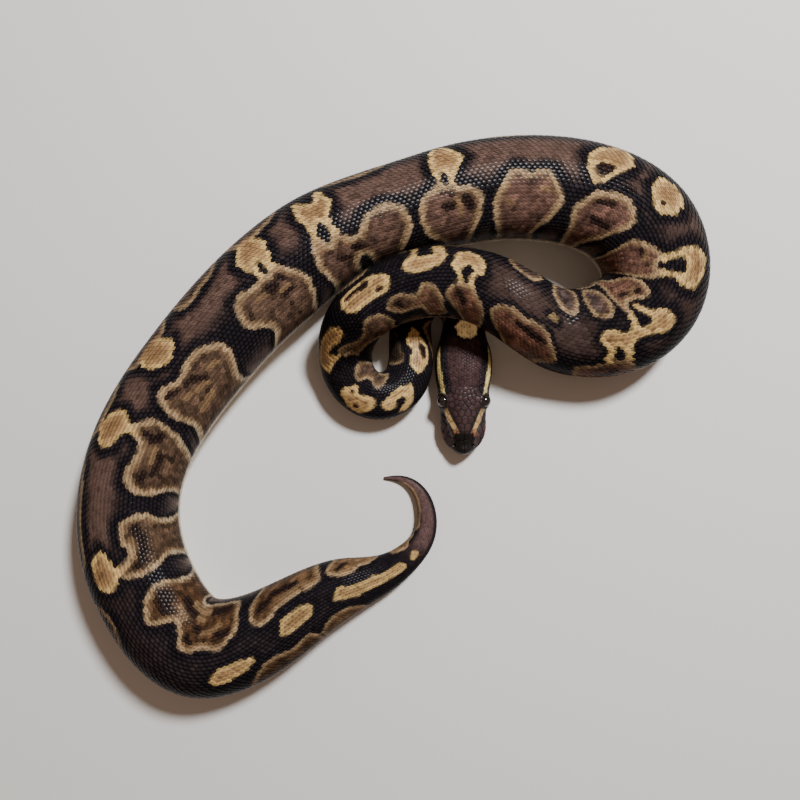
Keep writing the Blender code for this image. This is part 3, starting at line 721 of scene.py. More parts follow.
def bodyPaint(s, f):  # base colour, 0 to 255
    angle = (360 * (f - backAt(s)) + 180) % 360 - 180
    across = angle * girthAt(s) / 360
    low = np.abs(angle)
    flank = np.full(len(s), 9.0)
    for curve in curves["flanks"]:
        flank = np.minimum(flank, outsideOf(curve, s, across))
    spot = np.full(len(s), 9.0)
    hole = np.full(len(s), 9.0)
    strength = np.ones(len(s))
    core = np.zeros(len(s))
    for curve, holes, rule in curves["spots"]:
        away = outsideOf(curve, s, across)
        closer = away < spot
        spot = np.where(closer, away, spot)
        strength = np.where(closer, rule.get("faint", 1.0), strength)
        core = np.where(closer, rule.get("core", 0.85), core)
        for opening in holes:
            hole = np.minimum(hole, outsideOf(opening, s, across))
    # the ground between the markings
    colour = plain(paint["black"], len(s))
    distance = np.minimum(flank, spot) + wave(s, across, *ripples["ground"])
    halo = table(paint["halo"], s)
    brown = table(paint["brownness"], s) * ramp(0, 1, (distance / halo - 0.45) / 0.95)
    colour = mixed(colour, paint["brown"], brown * ramp(42, 14, low))
    onTail = ramp(596, 612, s) * ramp(60, 30, low)
    colour = mixed(colour, paint["tail"], onTail)
    lowDown = ramp(70, 115, low) * ramp(0.8, 3.5, distance)
    colour = mixed(colour, paint["lowFlank"], lowDown)
    # the flank blotches
    inner = np.stack([table(paint["flank"], s, k) for k in (1, 2, 3)], axis=1)
    inner = mixed(inner, paint["coilFlank"], ramp(-4, -14, angle) * ramp(192, 186, s))
    shade = 1 + 0.26 * wave(s, across, *ripples["flank"])
    shade = shade + 0.3 * wave(s, across, *ripples["flankFine"])
    inner = inner * shade[:, None]
    for patch in darkPatches:
        inner = mixed(inner, paint["dark"], ramp(0.7, -0.4, fromPatch(patch, s, across)))
    for patch in tanPatches:
        inner = mixed(inner, paint["tan"], ramp(0.6, -0.5, fromPatch(patch, s, across)))
    rim = mixed(plain(paint["flankRim"], len(s)), paint["flankRimLow"], ramp(60, 110, low))
    edge = table(paint["flankEdge"], s) * (1 + 0.35 * wave(s, across, *ripples["flankEdge"]))
    inner = inner * (1 - 0.12 * ramp(-edge - 3.5, -edge - 1.2, flank))[:, None]
    inner = mixed(inner, paint["tan"], 0.8 * ramp(-edge - 1.5, -edge, flank))
    inner = mixed(inner, rim, ramp(-edge - 0.5, -edge + 0.8, flank))
    # painted shade on the left blotches where they face into the small coil
    inner = inner * np.where(angle > 0, table(paint["coilShade"], s), 1)[:, None]
    colour = mixed(colour, inner, ramp(0.2, -0.2, flank))
    # the spots on the back
    tan = mixed(plain(paint["spot"], len(s)), paint["spotCore"], ramp(-1.4, -3.4, spot) * core)
    edge = paint["spotEdge"] * (1 + 0.35 * wave(s, across, *ripples["spotEdge"]))
    apart = ramp(-1.6, 0.2, flank)  # a spot runs into a flank blotch without an edge
    tan = mixed(tan, paint["spotRim"], ramp(-edge - 0.7, -edge + 0.3, spot) * apart)
    tan = mixed(tan, paint["hole"], ramp(0.15, -0.25, hole))
    tan = mixed(tan, paint["spotRim"], 0.8 * ramp(0.2, 0.5, hole) * ramp(1.3, 0.8, hole))
    # the nape spot, painted paler as painted light under the crossing coil's shadow
    tan = mixed(tan, paint["napeSpot"], ramp(8, 5, s) * ramp(0.2, -0.2, spot))
    tan = tan * table(paint["spotTone"], s)[:, None]
    colour = mixed(colour, tan, ramp(0.2, -0.2 - 2.0 * (1 - apart), spot) * strength)
    # the belly
    edgeOfBelly = 180 - 360 * coat["bellyShare"]
    fromTop = np.abs((angle - 144 * backAt(s) + 180) % 360 - 180)
    underside = ramp(edgeOfBelly - 9, edgeOfBelly + 2, fromTop)
    return mixed(colour, paint["belly"], underside)


headColours = {  # as those of the body
    "crown": (56, 41, 41), "crownEdge": (27, 24, 28), "snout": (17, 15, 14),
    "jawStripe": (196, 176, 116), "jawEdge": (30, 26, 29),  # from the eye to the corner of the jaw
    "noseStripe": (130, 84, 63), "browStripe": (160, 131, 90), "noseEdge": (26, 24, 28),
    "eyeBand": (24, 20, 22), "eyeRing": (26, 20, 21),
    "lip": (88, 56, 44), "muzzle": (92, 54, 40), "chin": (198, 184, 166),
}

headLines = {
    # how far out from the middle the stripes and the crown's edge run, by distance back from the snout
    "jaw": ((20.0, 7.2), (22.0, 7.7), (27.0, 8.7), (33.0, 9.6), (37.5, 9.5)),
    "nose": ((5.0, 2.2), (8.3, 3.1), (12.0, 4.9), (16.0, 6.7)),
    "crown": ((22.0, 5.4), (27.0, 6.4), (33.0, 7.3), (40.0, 6.7)),
    "band": ((4.0, 6.2), (18.9, 8.0), (30.0, 7.2)),  # height of the dark band through the eye
}


def headPaint(s, f):  # the same for the head
    back = s + head["length"]
    point = lookUp(outer.point, s, f)
    side = aside(point)
    out = np.abs(side)
    up = point[:, 2]
    colour = plain(headColours["crown"], len(s))
    shade = 1 + 0.12 * wave(side, back, *ripples["head"])
    colour *= (shade + 0.14 * wave(side, back, *ripples["headFine"]))[:, None]
    start, end, corner = head["mouth"]
    mouth = table(((0, start), (corner, end), (45, 5.2)), back)
    # the pale stripe from the eye to the corner of the jaw, and its black edge
    stripe = np.abs(out - table(headLines["jaw"], back))
    within = ramp(20.6, 21.6, back) * ramp(40.5, 37.5, back) * (up > mouth)
    top = ramp(6.4, 7.6, up)
    colour = mixed(colour, headColours["jawEdge"], ramp(3.0, 1.6, stripe) * within * 0.9)
    colour = mixed(colour, headColours["jawStripe"], ramp(1.15, 0.75, stripe) * within * top)
    # the stripe from the nostril to the eye, warmer in front
    front = table(headLines["nose"], back)
    stripe = np.abs(out - front - 0.35 * np.sign(side) * ramp(14, 8, back))
    within = ramp(4.6, 7.4, back) * ramp(16.8, 15.8, back) * ramp(5.4, 6.4, up)
    colour = mixed(colour, headColours["noseEdge"], ramp(2.6, 1.5, stripe) * within * 0.6)
    warm = ramp(10, 7, back)[:, None] * headColours["noseStripe"]
    warm = warm + ramp(7, 10, back)[:, None] * headColours["browStripe"]
    colour = mixed(colour, warm, ramp(1.15, 0.7, stripe) * within)
    # dark snout and the dark band through the eye
    dark = ramp(8.0, 7.2, back) * ramp(3.9, 3.0, out) * 0.95
    colour = mixed(colour, headColours["snout"], dark)
    band = ramp(1.9, 1.1, np.abs(up - table(headLines["band"], back)))
    onSide = out > table(head["stations"], back) * 0.55
    band = band * onSide * (0.25 + 0.65 * ramp(12, 16, back))
    colour = mixed(colour, headColours["eyeBand"], band)
    eyeBack, eyeOut, eyeUp = head["eye"]
    ring = np.stack((out - eyeOut - 1.0, back - eyeBack, up - eyeUp - 0.8), axis=1)
    ring = np.linalg.norm(ring, axis=1)
    colour = mixed(colour, headColours["eyeRing"], ramp(3.4, 2.6, ring) * 0.9)
    # lips, pale below and towards the corner of the mouth
    lips = ramp(2.6, 1.6, up - mouth)
    colour = mixed(colour, headColours["lip"], lips * 0.85)
    patches = ramp(0.1, 0.5, wave(side, back, *ripples["muzzle"]))
    patches = patches * ramp(3, 6, back) * ramp(15, 12, back) * (out > front + 1.2)
    colour = mixed(colour, headColours["muzzle"], patches * 0.6)
    colour = mixed(colour, headColours["chin"], ramp(0.4, -1.2, up - mouth))
    colour = mixed(colour, headColours["chin"], lips * ramp(16, 25, back) * 0.7)
    # black edges of the crown
    edge = np.abs(out - table(headLines["crown"], back))
    edge = ramp(1.6, 0.6, edge) * ramp(20, 24, back) * 0.7
    return mixed(colour, headColours["crownEdge"], edge)


def marks(s, f):  # linear base colour of the skin and of the scales
    s = np.asarray(s, float)
    f = (np.asarray(f, float) + 0.5) % 1.0 - 0.5
    colour = bodyPaint(np.maximum(s, -2.5), f)
    onHead = s < 0
    if onHead.any():
        own = headPaint(s[onHead], f[onHead])
        share = ramp(-2.5, 0, s[onHead])
        napeSpot = curves["spots"][0][0]
        nape = outsideOf(napeSpot, s[onHead], f[onHead] * girthAt(s[onHead]))
        share = np.maximum(share, ramp(1.2, 0.2, nape))
        colour[onHead] = mixed(own, colour[onHead], share)
    value = np.clip(colour, 0, 255) / 255  # sRGB, turned linear below
    return np.where(value < 0.04045, value / 12.92, ((value + 0.055) / 1.055) ** 2.4)


def toMesh(solid, name):  # ends a bmesh as a mesh
    mesh = bpy.data.meshes.new(name)
    solid.to_mesh(mesh)
    solid.free()
    return mesh


def meshPoints(mesh):
    flat = np.empty(len(mesh.vertices) * 3)
    mesh.vertices.foreach_get("co", flat)
    return flat.reshape(-1, 3)


def meshCorners(mesh):  # the vertex at every corner of every face
    corner = np.empty(len(mesh.loops), int)
    mesh.loops.foreach_get("vertex_index", corner)
    return corner


def newPiece(name, mesh, material):
    mesh.name = name
    mesh.materials.append(material)
    piece = bpy.data.objects.new(name, mesh)
    bpy.context.scene.collection.objects.link(piece)
    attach(piece, "root")
    return piece


def setPaint(mesh, colours):  # one colour a vertex
    layer = mesh.color_attributes.new("marks", "FLOAT_COLOR", "POINT")
    values = np.ones((len(mesh.vertices), 4), np.float32)
    values[:, :3] = colours
    layer.data.foreach_set("color", values.ravel())
    mesh.color_attributes.active_color = layer


def setMap(mesh, uv):  # one place a corner
    layer = mesh.uv_layers.new(name="OFBake")
    layer.data.foreach_set("uv", np.asarray(uv, np.float32).ravel())


def headDents(s, f):  # how far the mouth line, nostrils and lip pits lie under the surface
    back = s + head["length"]
    point = lookUp(outer.point, s, f)
    out = np.abs(aside(point))
    up = point[..., 2]
    corner = head["mouth"][2]
    mouth = mouthLine(back)
    sunk = head["sunk"]
    dent = sunk["mouth"] * np.exp(-((up - mouth) / 0.3) ** 2) * ramp(corner + 1.5, corner - 1.5, back)
    away = np.hypot(back - head["nostril"][0], out - head["nostril"][1])
    dent += sunk["nostril"] * ramp(0.62, 0.3, away) * (up > mouth + 1.5)
    for pit in head["pits"]:
        away = np.hypot(back - pit, up - mouth - 1.75)
        dent += sunk["pit"] * np.exp(-(away / 0.33) ** 2) * (out > 1)
    return dent * (s < 0)


skin = {
    "round": 126,      # faces round the body
    "along": 1.0,      # length of a face on the body
    "headAlong": 0.45,
    "wrinkle": 0.05,   # height of its slight unevenness
    "lowest": 0.05,    # how far it stays over the floor
    "strips": 6,       # the flat map lays the skin out in so many strips
}


def makeSkin(material):
    headRows = np.linspace(0, 1, int(head["length"] / skin["headAlong"])) ** 1.25 * head["length"]
    bodyRows = np.arange(skin["along"], bodyLength - 0.3, skin["along"])
    rows = np.concatenate((headRows - head["length"], bodyRows, [bodyLength]))
    grid = bmesh.new()
    bmesh.ops.create_grid(grid, x_segments=len(rows) - 1, y_segments=skin["round"], size=1)
    mesh = toMesh(grid, "python_skin")
    flat = meshPoints(mesh)
    step = (flat[:, 0] + 1) / 2 * (len(rows) - 1)
    s = np.interp(step, np.arange(len(rows)), rows)
    f = flat[:, 1] / 2
    wrinkle = skin["wrinkle"] * wave(s, f * girthAt(s), *ripples["skin"])
    depth = coatDepth(s) + headDents(s, f) + wrinkle * (s > 0)
    depth = np.minimum(depth, girthAt(s) * 0.05)
    points = place(s, f, depth) * mm
    points[:, 2] = np.maximum(points[:, 2], skin["lowest"] * mm)
    mesh.vertices.foreach_set("co", points.ravel())
    colour = marks(s, f)
    # the skin between pale scales is painted lighter than they are, painted light against the shade in
    # the gaps
    setPaint(mesh, colour * table(paint["between"], colour.mean(axis=1))[:, None])
    corner = meshCorners(mesh)
    along = ((s + head["length"]) / (bodyLength + head["length"]) * skin["strips"])[corner]
    strip = np.floor(along.reshape(-1, 4).mean(axis=1)).repeat(4)
    u = 0.01 + 0.98 * np.clip(along - strip, 0, 1)
    v = (strip + 0.03 + 0.94 * (f[corner] + 0.5)) / skin["strips"]
    setMap(mesh, np.stack((u, v), axis=1))
    solid = bmesh.new()
    solid.from_mesh(mesh)
    bmesh.ops.remove_doubles(solid, verts=solid.verts, dist=1e-6)
    bmesh.ops.dissolve_degenerate(solid, edges=solid.edges, dist=1e-7)
    bmesh.ops.recalc_face_normals(solid, faces=solid.faces)
    solid.to_mesh(mesh)
    solid.free()
    mesh.shade_smooth()
    piece = newPiece("python_skin", mesh, material)
    flesh = [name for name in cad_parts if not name.startswith("eye")]
    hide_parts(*flesh)
    print(f"skin: {len(mesh.polygons)} faces")


def scaleSpacing(s):
    return table(coat["spacing"], s)


def scalePitch(s):  # from one scale to the next one behind it
    return scaleSpacing(s) * table(coat["pitch"], s)


# Places along the body, from the first and by a step, both counted in pitches times the factor
def rowPlaces(start, end, first, step, factor):
    fine = np.arange(start, end, 0.2)
    count = np.concatenate(([0], np.cumsum(0.2 / (scalePitch(fine) * factor)[:-1])))
    return np.interp(np.arange(first, count[-1], step), count, fine)


def shapeArrays(solid):  # a template's points and triangles
    solid.verts.index_update()
    points = np.array([v.co for v in solid.verts])
    faces = np.array([[v.index for v in face.verts] for face in solid.faces])
    solid.free()
    return points, faces


def hullShape(rim, others):  # a scale as a hull: its rim's middle and left half, then its other points
    solid = bmesh.new()
    for u, v, up in rim:
        for side in (1, -1) if v else (1,):
            solid.verts.new((u, v * side, up))
    for point in others:
        solid.verts.new(point)
    bmesh.ops.convex_hull(solid, input=solid.verts)
    bmesh.ops.triangulate(solid, faces=solid.faces)
    bmesh.ops.recalc_face_normals(solid, faces=solid.faces)
    return shapeArrays(solid)


def scaleShape():  # lengths over the pitch, widths over the spacing and heights over the coat's depth
    edge = ((0.6, 0), (0.46, 0.28), (0.2, 0.53), (-0.12, 0.59), (-0.42, 0.45), (-0.66, 0.2))
    rim = [(u, v, 0.52 + 0.72 * u) for u, v in edge]
    keel = [(u, 0, 0.78 + 0.5 * u) for u in (-0.26, 0.03, 0.3)]
    return hullShape(rim, keel + [(-0.5, 0, -0.35)])


def granuleShape():  # a scale of the head's back: small, flat and barely overlapping
    rim = ((0.55, 0, 0.7), (0.42, 0.34, 0.66), (0.12, 0.52, 0.6), (-0.22, 0.48, 0.5), (-0.5, 0.22, 0.4))
    top = [(u, v, 0.92) for u, v in ((0.3, 0), (0.05, 0.24), (0.05, -0.24), (-0.25, 0))]
    return hullShape(rim, top + [(0, 0, -0.3)])


def joinedCopies(name, shape, rows, material):  # rows hold the place, size and tone of every copy
    points, faces = shape
    count = len(rows["s"])
    s = rows["s"][:, None] + points[None, :, 0] * rows["pitch"][:, None]
    f = rows["f"][:, None] + points[None, :, 1] * rows["width"][:, None] / girthAt(rows["s"])[:, None]
    s = np.clip(s, -head["length"], bodyLength)
    raised = rows["depth"][:, None] * (1 - points[None, :, 2] * rows["lift"][:, None])
    spots = place(s.ravel(), f.ravel(), raised.ravel()) * mm
    spots[:, 2] = np.maximum(spots[:, 2], coat["lowest"] * mm)
    mesh = bpy.data.meshes.new(name)
    mesh.vertices.add(len(spots))
    mesh.vertices.foreach_set("co", spots.ravel())
    index = (faces[None] + (np.arange(count) * len(points))[:, None, None]).reshape(-1)
    size = faces.shape[1]
    mesh.loops.add(len(index))
    mesh.loops.foreach_set("vertex_index", index.astype(np.int32))
    mesh.polygons.add(count * len(faces))
    mesh.polygons.foreach_set("loop_start", np.arange(0, len(index), size, dtype=np.int32))
    mesh.update(calc_edges=True)
    centre = marks(rows["s"] + rows["pitch"] * 0.1, rows["f"])
    own = marks(s.ravel(), f.ravel()).reshape(count, len(points), 3)
    follow = paint["follow"]
    colour = own * (1 - follow) + centre[:, None] * follow
    rim = np.linalg.norm(points[:, :2] / paint["rimAt"], axis=1).clip(0, 1)
    # black scales get a light middle, a painted glint; pale ones get paler rims
    strength = table(paint["scaleRimAndGlint"], centre.mean(axis=1))
    tone = np.maximum(1 + (0.4 - rim[None]**3) * strength[:, None], paint["darkest"])
    # what lies under a scale gets painted shade
    tone = np.where(points[None, :, 2] < 0, paint["under"], tone)
    colour *= rows["shade"][:, None, None] * tone[:, :, None]
    setPaint(mesh, colour.reshape(-1, 3))
    patch = points[:, :2] * 0.003 / 1.3  # what one copy takes up on the map
    uv = np.stack((rows["u"], rows["v"]), axis=1)[:, None] + patch[None]
    setMap(mesh, uv.reshape(-1, 2)[index])
    mesh.shade_smooth()
    mesh.set_sharp_from_angle(angle=math.radians(coat["sharp"]))
    piece = newPiece(name, mesh, material)
    print(f"{name}: {count} copies, {len(mesh.polygons)} faces")


def overMouth(s, f):  # height over the line of the mouth
    return lookUp(outer.point, s, f)[:, 2] - mouthLine(s + head["length"])


def offShields(s, f):  # true where the small scales of the head's back, temples and chin stand
    back = s + head["length"]
    height = overMouth(s, f)
    crown = (back > shields["crownEnd"] - 0.3) & (height > 2.6)
    behind = back > shields["lipEnd"] - 0.3
    chin = (height < -2.2) & (back > 2.5)
    return crown | behind | chin


uneven = {  # how much the scales differ from an even net
    "along": 0.03,    # of the spacing
    "round": 0.025,
    "size": 0.025,    # of their length and width
    "lift": (0.98, 0.04),   # mean height over the coat's depth, and how far it strays
    "shade": (1, 0.15),     # the same for how light they are, which stays between two ends
    "shadeEnds": (0.6, 1.45),
    "onHead": 2.2,    # so much more for the small scales of the head
}


def makeScales(material):  # in rows round the body, every second row shifted by half a scale
    chance = np.random.default_rng(41)
    places = rowPlaces(-39.5, bodyLength, 0, 0.5, 1)
    spacing = scaleSpacing(places)
    sList, fList = [], []
    for k, (s, gap) in enumerate(zip(places, spacing)):
        girth = float(girthAt(s))
        back = float(backAt(s))
        most = int(girth * 0.5 / gap) + 2
        row = np.arange(-most, most + 1)
        row = row[(row + k) % 2 == 0]
        share = back + row * gap / girth
        fromBelly = np.abs((share - 0.5 - 0.6 * back + 0.5) % 1.0 - 0.5)
        keep = np.abs(share - back) < 0.5
        if s > coat["throat"]:
            keep &= fromBelly > coat["bellyShare"] - 0.15 * gap / girth
        else:
            keep &= offShields(np.full(len(share), s), share)
        share = share[keep]
        sList.append(np.full(len(share), s))
        fList.append(share)
    s = np.concatenate(sList)
    f = np.concatenate(fList)
    width = scaleSpacing(s)
    stretch = lookUp(outer.stretch, s, f)
    bend = np.where(stretch < 1, np.maximum(stretch, 0.2) ** -0.5, stretch ** -0.3)
    loose = 1 + uneven["onHead"] * ramp(6, -12, s)
    rows = {
        "s": s + chance.normal(0, uneven["along"], len(s)) * width * loose,
        "f": f + chance.normal(0, uneven["round"], len(s)) * width * loose / girthAt(s),
        "pitch": scalePitch(s) * bend * (1 + chance.normal(0, uneven["size"], len(s)) * loose),
        "width": width * (1 + chance.normal(0, uneven["size"], len(s)) * loose),
        "depth": coatDepth(s),
        "lift": chance.normal(*uneven["lift"], len(s)),
        "shade": np.clip(chance.normal(*uneven["shade"], len(s)), *uneven["shadeEnds"]),
    }
    rows["width"] = rows["width"] * (1 + 0.12 * ramp(10, -10, s))
    bounds = coat["bounds"]
    for k, (start, end) in enumerate(zip(bounds[:-1], bounds[1:])):
        part = (s >= start) & (s < end)
        some = {key: value[part] for key, value in rows.items()}
        some["u"] = 0.01 + 0.98 * (some["s"] - start) / (end - start)
        some["v"] = 0.01 + 0.98 * ((some["f"] + 0.5) % 1.0)
        shape = scaleShape() if end > 0 else granuleShape()
        joinedCopies(f"scales_{k + 1}", shape, some, material)
    print(f"{len(s)} scales")


shields = {
    "crownEnd": 23.4,  # how far back from the snout they reach
    "lipEnd": 26.3,
    "gap": 0.05,      # half the groove between two of them
    "dome": 0.12,     # how far their edges lie under their middles
    "rounding": 0.22,  # over what width they fall to that
    "edgeTone": 0.45,  # how much darker the edges are
    "sharp": 42,      # edges steeper than so many degrees stay sharp
    "thick": 0.3,
    "sheet": (0.24, 210),  # length of the faces they are cut from, and how many lie round the head
    "largest": 4.2,   # no shield reaches farther from its middle
    "neighbours": (6.5, 14),  # how near and how many others can cut it short
    # back from the snout and out from the middle, and how much a shield outweighs its neighbours
    "crown": ((3.5, 1.25, 0.3), (2.6, 3.2, 0), (4.5, 3.9, 0), (6.5, 1.7, 0.3), (7.3, 4.2, 0),
              (9.6, 1.5, 0.2), (10.3, 3.8, 0), (12.4, 2.2, 0), (13.1, 4.6, 0), (14.6, 1.5, 0.2),
              (14.4, 3.3, 0), (15.4, 4.9, 0), (16.4, 2.7, 0), (17.3, 4.4, 0.2), (18.0, 1.3, 0),
              (18.5, 2.9, 0), (19.4, 4.6, 0), (20.0, 1.8, 0), (20.4, 3.3, 0), (21.2, 5.0, 0),
              (21.8, 1.4, 0), (21.9, 2.8, 0), (22.5, 4.1, 0), (22.9, 6.0, 0), (23.2, 2.0, 0)),
    "middle": ((12.2, 0.1), (16.5, -0.15), (19.4, 0.2), (21.2, -0.1), (22.9, 0.15)),  # single ones
    # beyond the last shields, where the small scales begin
    "next": ((24.4, 0.7), (24.5, 2.2), (24.4, 3.7), (24.3, 5.2), (24.2, 6.7)),
    "nextSides": ((24.4, 10.0), (24.6, 8.6), (25.0, 7.4), (27.2, 5.6), (27.2, 3.2)),
    # back from the snout and height
    "sides": ((9.6, 8.5, 0), (12.0, 8.7, 0), (10.6, 7.3, 0), (13.0, 7.2, 0), (14.3, 8.6, 0),
              (15.3, 6.9, 0), (17.3, 6.2, 0), (19.7, 6.1, 0), (22.0, 6.9, 0), (22.6, 8.6, 0)),
    "upperLip": (1.5, 4.2, 6.7, 9.2, 11.6, 14.0, 16.3, 18.6, 20.9, 23.1, 25.2),
    "lowerLip": (2.0, 4.1, 6.2, 8.2, 10.2, 12.2, 14.2, 16.2, 18.3, 20.5, 22.8, 25.0),
    "ring": 11,       # scales round an eye, and their distance from its middle
    "ringAway": 2.75,
}


def onRow(back, column, value, side):  # the place on the head that high, or for column 0 that far out
    s = back - head["length"]
    f = side * np.linspace(0, 0.5, 400)
    row = lookUp(outer.point, np.full(400, s), f)
    if column == 0:
        k = int(np.argmin(np.abs(np.abs(aside(row[:160])) - value)))
    else:
        k = int(np.argmin(np.abs(row[20:, 2] - value))) + 20
    return row[k]


def shieldSeeds():  # place, weight and the planes that cut it short, for every shield of the head
    chance = np.random.default_rng(5)
    seeds = [(onRow(0.25, 1, 5.2, 1), 1.6, None), (onRow(0.35, 1, 2.0, 1), 0.9, None)]
    seeds[0][0][0] = seeds[1][0][0] = head["x"] - pose["middle"][0]
    beyond = []  # places of other scales, which only end the shields
    for side in (-1, 1):
        shake = chance.normal(0, 0.13, 400)
        eye, gaze = eyeAxis(side)
        upward = np.cross(gaze, (0, 1, 0)) * -side
        upward /= np.linalg.norm(upward)
        forward = np.cross(upward, gaze)
        for k in range(shields["ring"]):
            turn = 2 * math.pi * (k + 0.25) / shields["ring"]
            spoke = math.cos(turn) * upward + math.sin(turn) * forward
            rimPlace = eye + gaze * 1.25 + spoke * shields["ringAway"]
            seeds.append((rimPlace, 0.0, (eye + spoke * head["eyeOpening"], -spoke)))
        others = []
        for k, (back, out, weight) in enumerate(shields["crown"]):
            others.append((onRow(back + shake[k], 0, out + shake[k + 50] * 0.6, side), weight))
        for k, (back, up, weight) in enumerate(shields["sides"]):
            others.append((onRow(back + shake[k + 100], 1, up, side), weight))
        for first, lip, above in ((150, "upperLip", 1.3), (200, "lowerLip", -1.2)):
            for k, back in enumerate(shields[lip]):
                spot = onRow(back + shake[k + first] * 0.5, 1, mouthLine(back) + above, side)
                others.append((spot, 0))
        for seed, weight in others:
            away = seed - eye
            if np.linalg.norm(away - (away @ gaze) * gaze) > shields["ringAway"] + 0.45:
                seeds.append((seed, weight, None))
        beyond += [onRow(back, 0, out, side) for back, out in shields["next"]]
        beyond += [onRow(back, 1, up, side) for back, up in shields["nextSides"]]
        beyond += [onRow(back, 1, mouthLine(back) - 3.4, side) for back in np.arange(3.5, 27, 1.5)]
    for back, out in shields["middle"]:
        seeds.append((onRow(back, 0, abs(out), 1 if out > 0 else -1), 0, None))
    return seeds, beyond


def headSheet():  # the front of the head as one fine sheet, which the shields are cut from
    start = -head["length"] + 0.02
    end = shields["lipEnd"] - head["length"]
    sheet = bmesh.new()
    length, facesRound = shields["sheet"]
    rows = int((end - start) / length)
    bmesh.ops.create_grid(sheet, x_segments=rows, y_segments=facesRound, size=1)
    along = sheet.verts.layers.float.new("along")
    around = sheet.verts.layers.float.new("round")
    share = np.array([(v.co.x, v.co.y) for v in sheet.verts])
    s = start + (end - start) * ((share[:, 0] + 1) / 2) ** 1.15
    f = share[:, 1] / 2
    pits = headDents(s, f) * (np.abs(overMouth(s, f)) >= 0.9)
    spots = place(s, f, pits)
    for v, spot, sHere, fHere in zip(sheet.verts, spots, s, f):
        v.co = spot
        v[along] = sHere
        v[around] = fHere
    bmesh.ops.remove_doubles(sheet, verts=sheet.verts, dist=1e-4)
    tip = [e for e in sheet.edges if e.is_boundary and all(v[along] < start + 0.01 for v in e.verts)]
    bmesh.ops.holes_fill(sheet, edges=tip, sides=0)
    return sheet


def finishShield(piece, planes):  # crowns a cut sheet and closes it below
    edge = piece.verts.layers.float.new("edge")
    along = piece.verts.layers.float["along"]
    around = piece.verts.layers.float["round"]
    spots = np.array([v.co for v in piece.verts])
    inside = np.min([(spot - spots) @ normal for spot, normal in planes], axis=0)
    s = np.array([v[along] for v in piece.verts])
    f = np.array([v[around] for v in piece.verts])
    # points cut on the seam below the chin get a place half way round, so they are set right
    stray = np.linalg.norm(place(s, f, np.zeros(len(s))) - spots, axis=1) > 1.5
    f = np.where(stray, 0.5, f)
    normal = lookUp(outer.normal, s, f)
    sunk = np.exp(-np.maximum(inside, 0) / shields["rounding"])
    for v, down, direction, share in zip(piece.verts, sunk, normal, f):
        v.co -= mathutils.Vector(direction * shields["dome"] * down)
        v[edge] = down
        v[around] = share
    rim = [e for e in piece.edges if e.is_boundary]
    grown = bmesh.ops.extrude_edge_only(piece, edges=rim)["geom"]
    low = [g for g in grown if isinstance(g, bmesh.types.BMVert)]
    for v in low:
        direction = lookUp(outer.normal, np.array([v[along]]), np.array([v[around]]))[0]
        v.co -= mathutils.Vector(direction * shields["thick"])
        v[edge] = 1.6
    bmesh.ops.holes_fill(piece, edges=[e for e in piece.edges if e.is_boundary], sides=0)


def makeShields(material):
    sheet = headSheet()
    seeds, beyond = shieldSeeds()
    places = np.array([seed[0] for seed in seeds] + beyond)
    weights = np.array([seed[1] for seed in seeds] + [0] * len(beyond))
    whole = bmesh.new()
    whole.verts.layers.float.new("along")
    whole.verts.layers.float.new("round")
    whole.verts.layers.float.new("edge")
    count = 0
    reach, most = shields["neighbours"]
    for middle, weight, cut in seeds:
        away = np.linalg.norm(places - middle, axis=1)
        order = [j for j in np.argsort(away) if 0 < away[j] < reach][:most]
        piece = sheet.copy()
        centre = mathutils.Vector(middle)
        far = [v for v in piece.verts if (v.co - centre).length > shields["largest"]]
        bmesh.ops.delete(piece, geom=far, context="VERTS")
        planes = []
        for j in order:
            between = places[j] - middle
            size = away[j]
            shift = size / 2 + (weight * abs(weight) - weights[j] * abs(weights[j])) / (2 * size) * 1.5
            planes.append((middle + between / size * (shift - shields["gap"]), between / size))
        if cut:
            planes.append(cut)
        for spot, normal in planes:
            bmesh.ops.bisect_plane(piece, geom=piece.verts[:] + piece.edges[:] + piece.faces[:],
                                   plane_co=spot, plane_no=normal, clear_outer=True, dist=1e-5)
        if len(piece.faces) < 3:
            piece.free()
            continue
        finishShield(piece, planes)
        part = toMesh(piece, "part")
        whole.from_mesh(part)
        bpy.data.meshes.remove(part)
        count += 1
    sheet.free()
    bmesh.ops.recalc_face_normals(whole, faces=whole.faces)
    bmesh.ops.scale(whole, vec=(mm, mm, mm), verts=whole.verts)
    mesh = toMesh(whole, "head_shields")
    values = {}
    for name in ("along", "round", "edge"):
        values[name] = np.zeros(len(mesh.vertices), np.float32)
        mesh.attributes[name].data.foreach_get("value", values[name])
        mesh.attributes.remove(mesh.attributes[name])
    tone = 1 - shields["edgeTone"] * values["edge"]
    setPaint(mesh, marks(values["along"], values["round"]) * tone[:, None])
    corner = meshCorners(mesh)
    u = ((values["along"] + head["length"]) / shields["lipEnd"] * 0.96 + 0.02)[corner]
    sizes = np.array([face.loop_total for face in mesh.polygons])
    owner = np.repeat(np.arange(len(sizes)), sizes)
    share = values["round"][corner]
    onSeam = np.abs(share) > 0.49
    lean = np.sign(np.bincount(owner, np.sign(share) * ~onSeam, len(sizes)))[owner]
    # each face keeps to one side of the map
    share = np.where(onSeam & (lean != 0), lean * np.abs(share), share)
    setMap(mesh, np.stack((u, share * 0.96 + 0.5), axis=1))
    mesh.shade_smooth()
    mesh.set_sharp_from_angle(angle=math.radians(shields["sharp"]))
    piece = newPiece("head_shields", mesh, material)
    print(f"head_shields: {count} shields, {len(mesh.polygons)} faces")


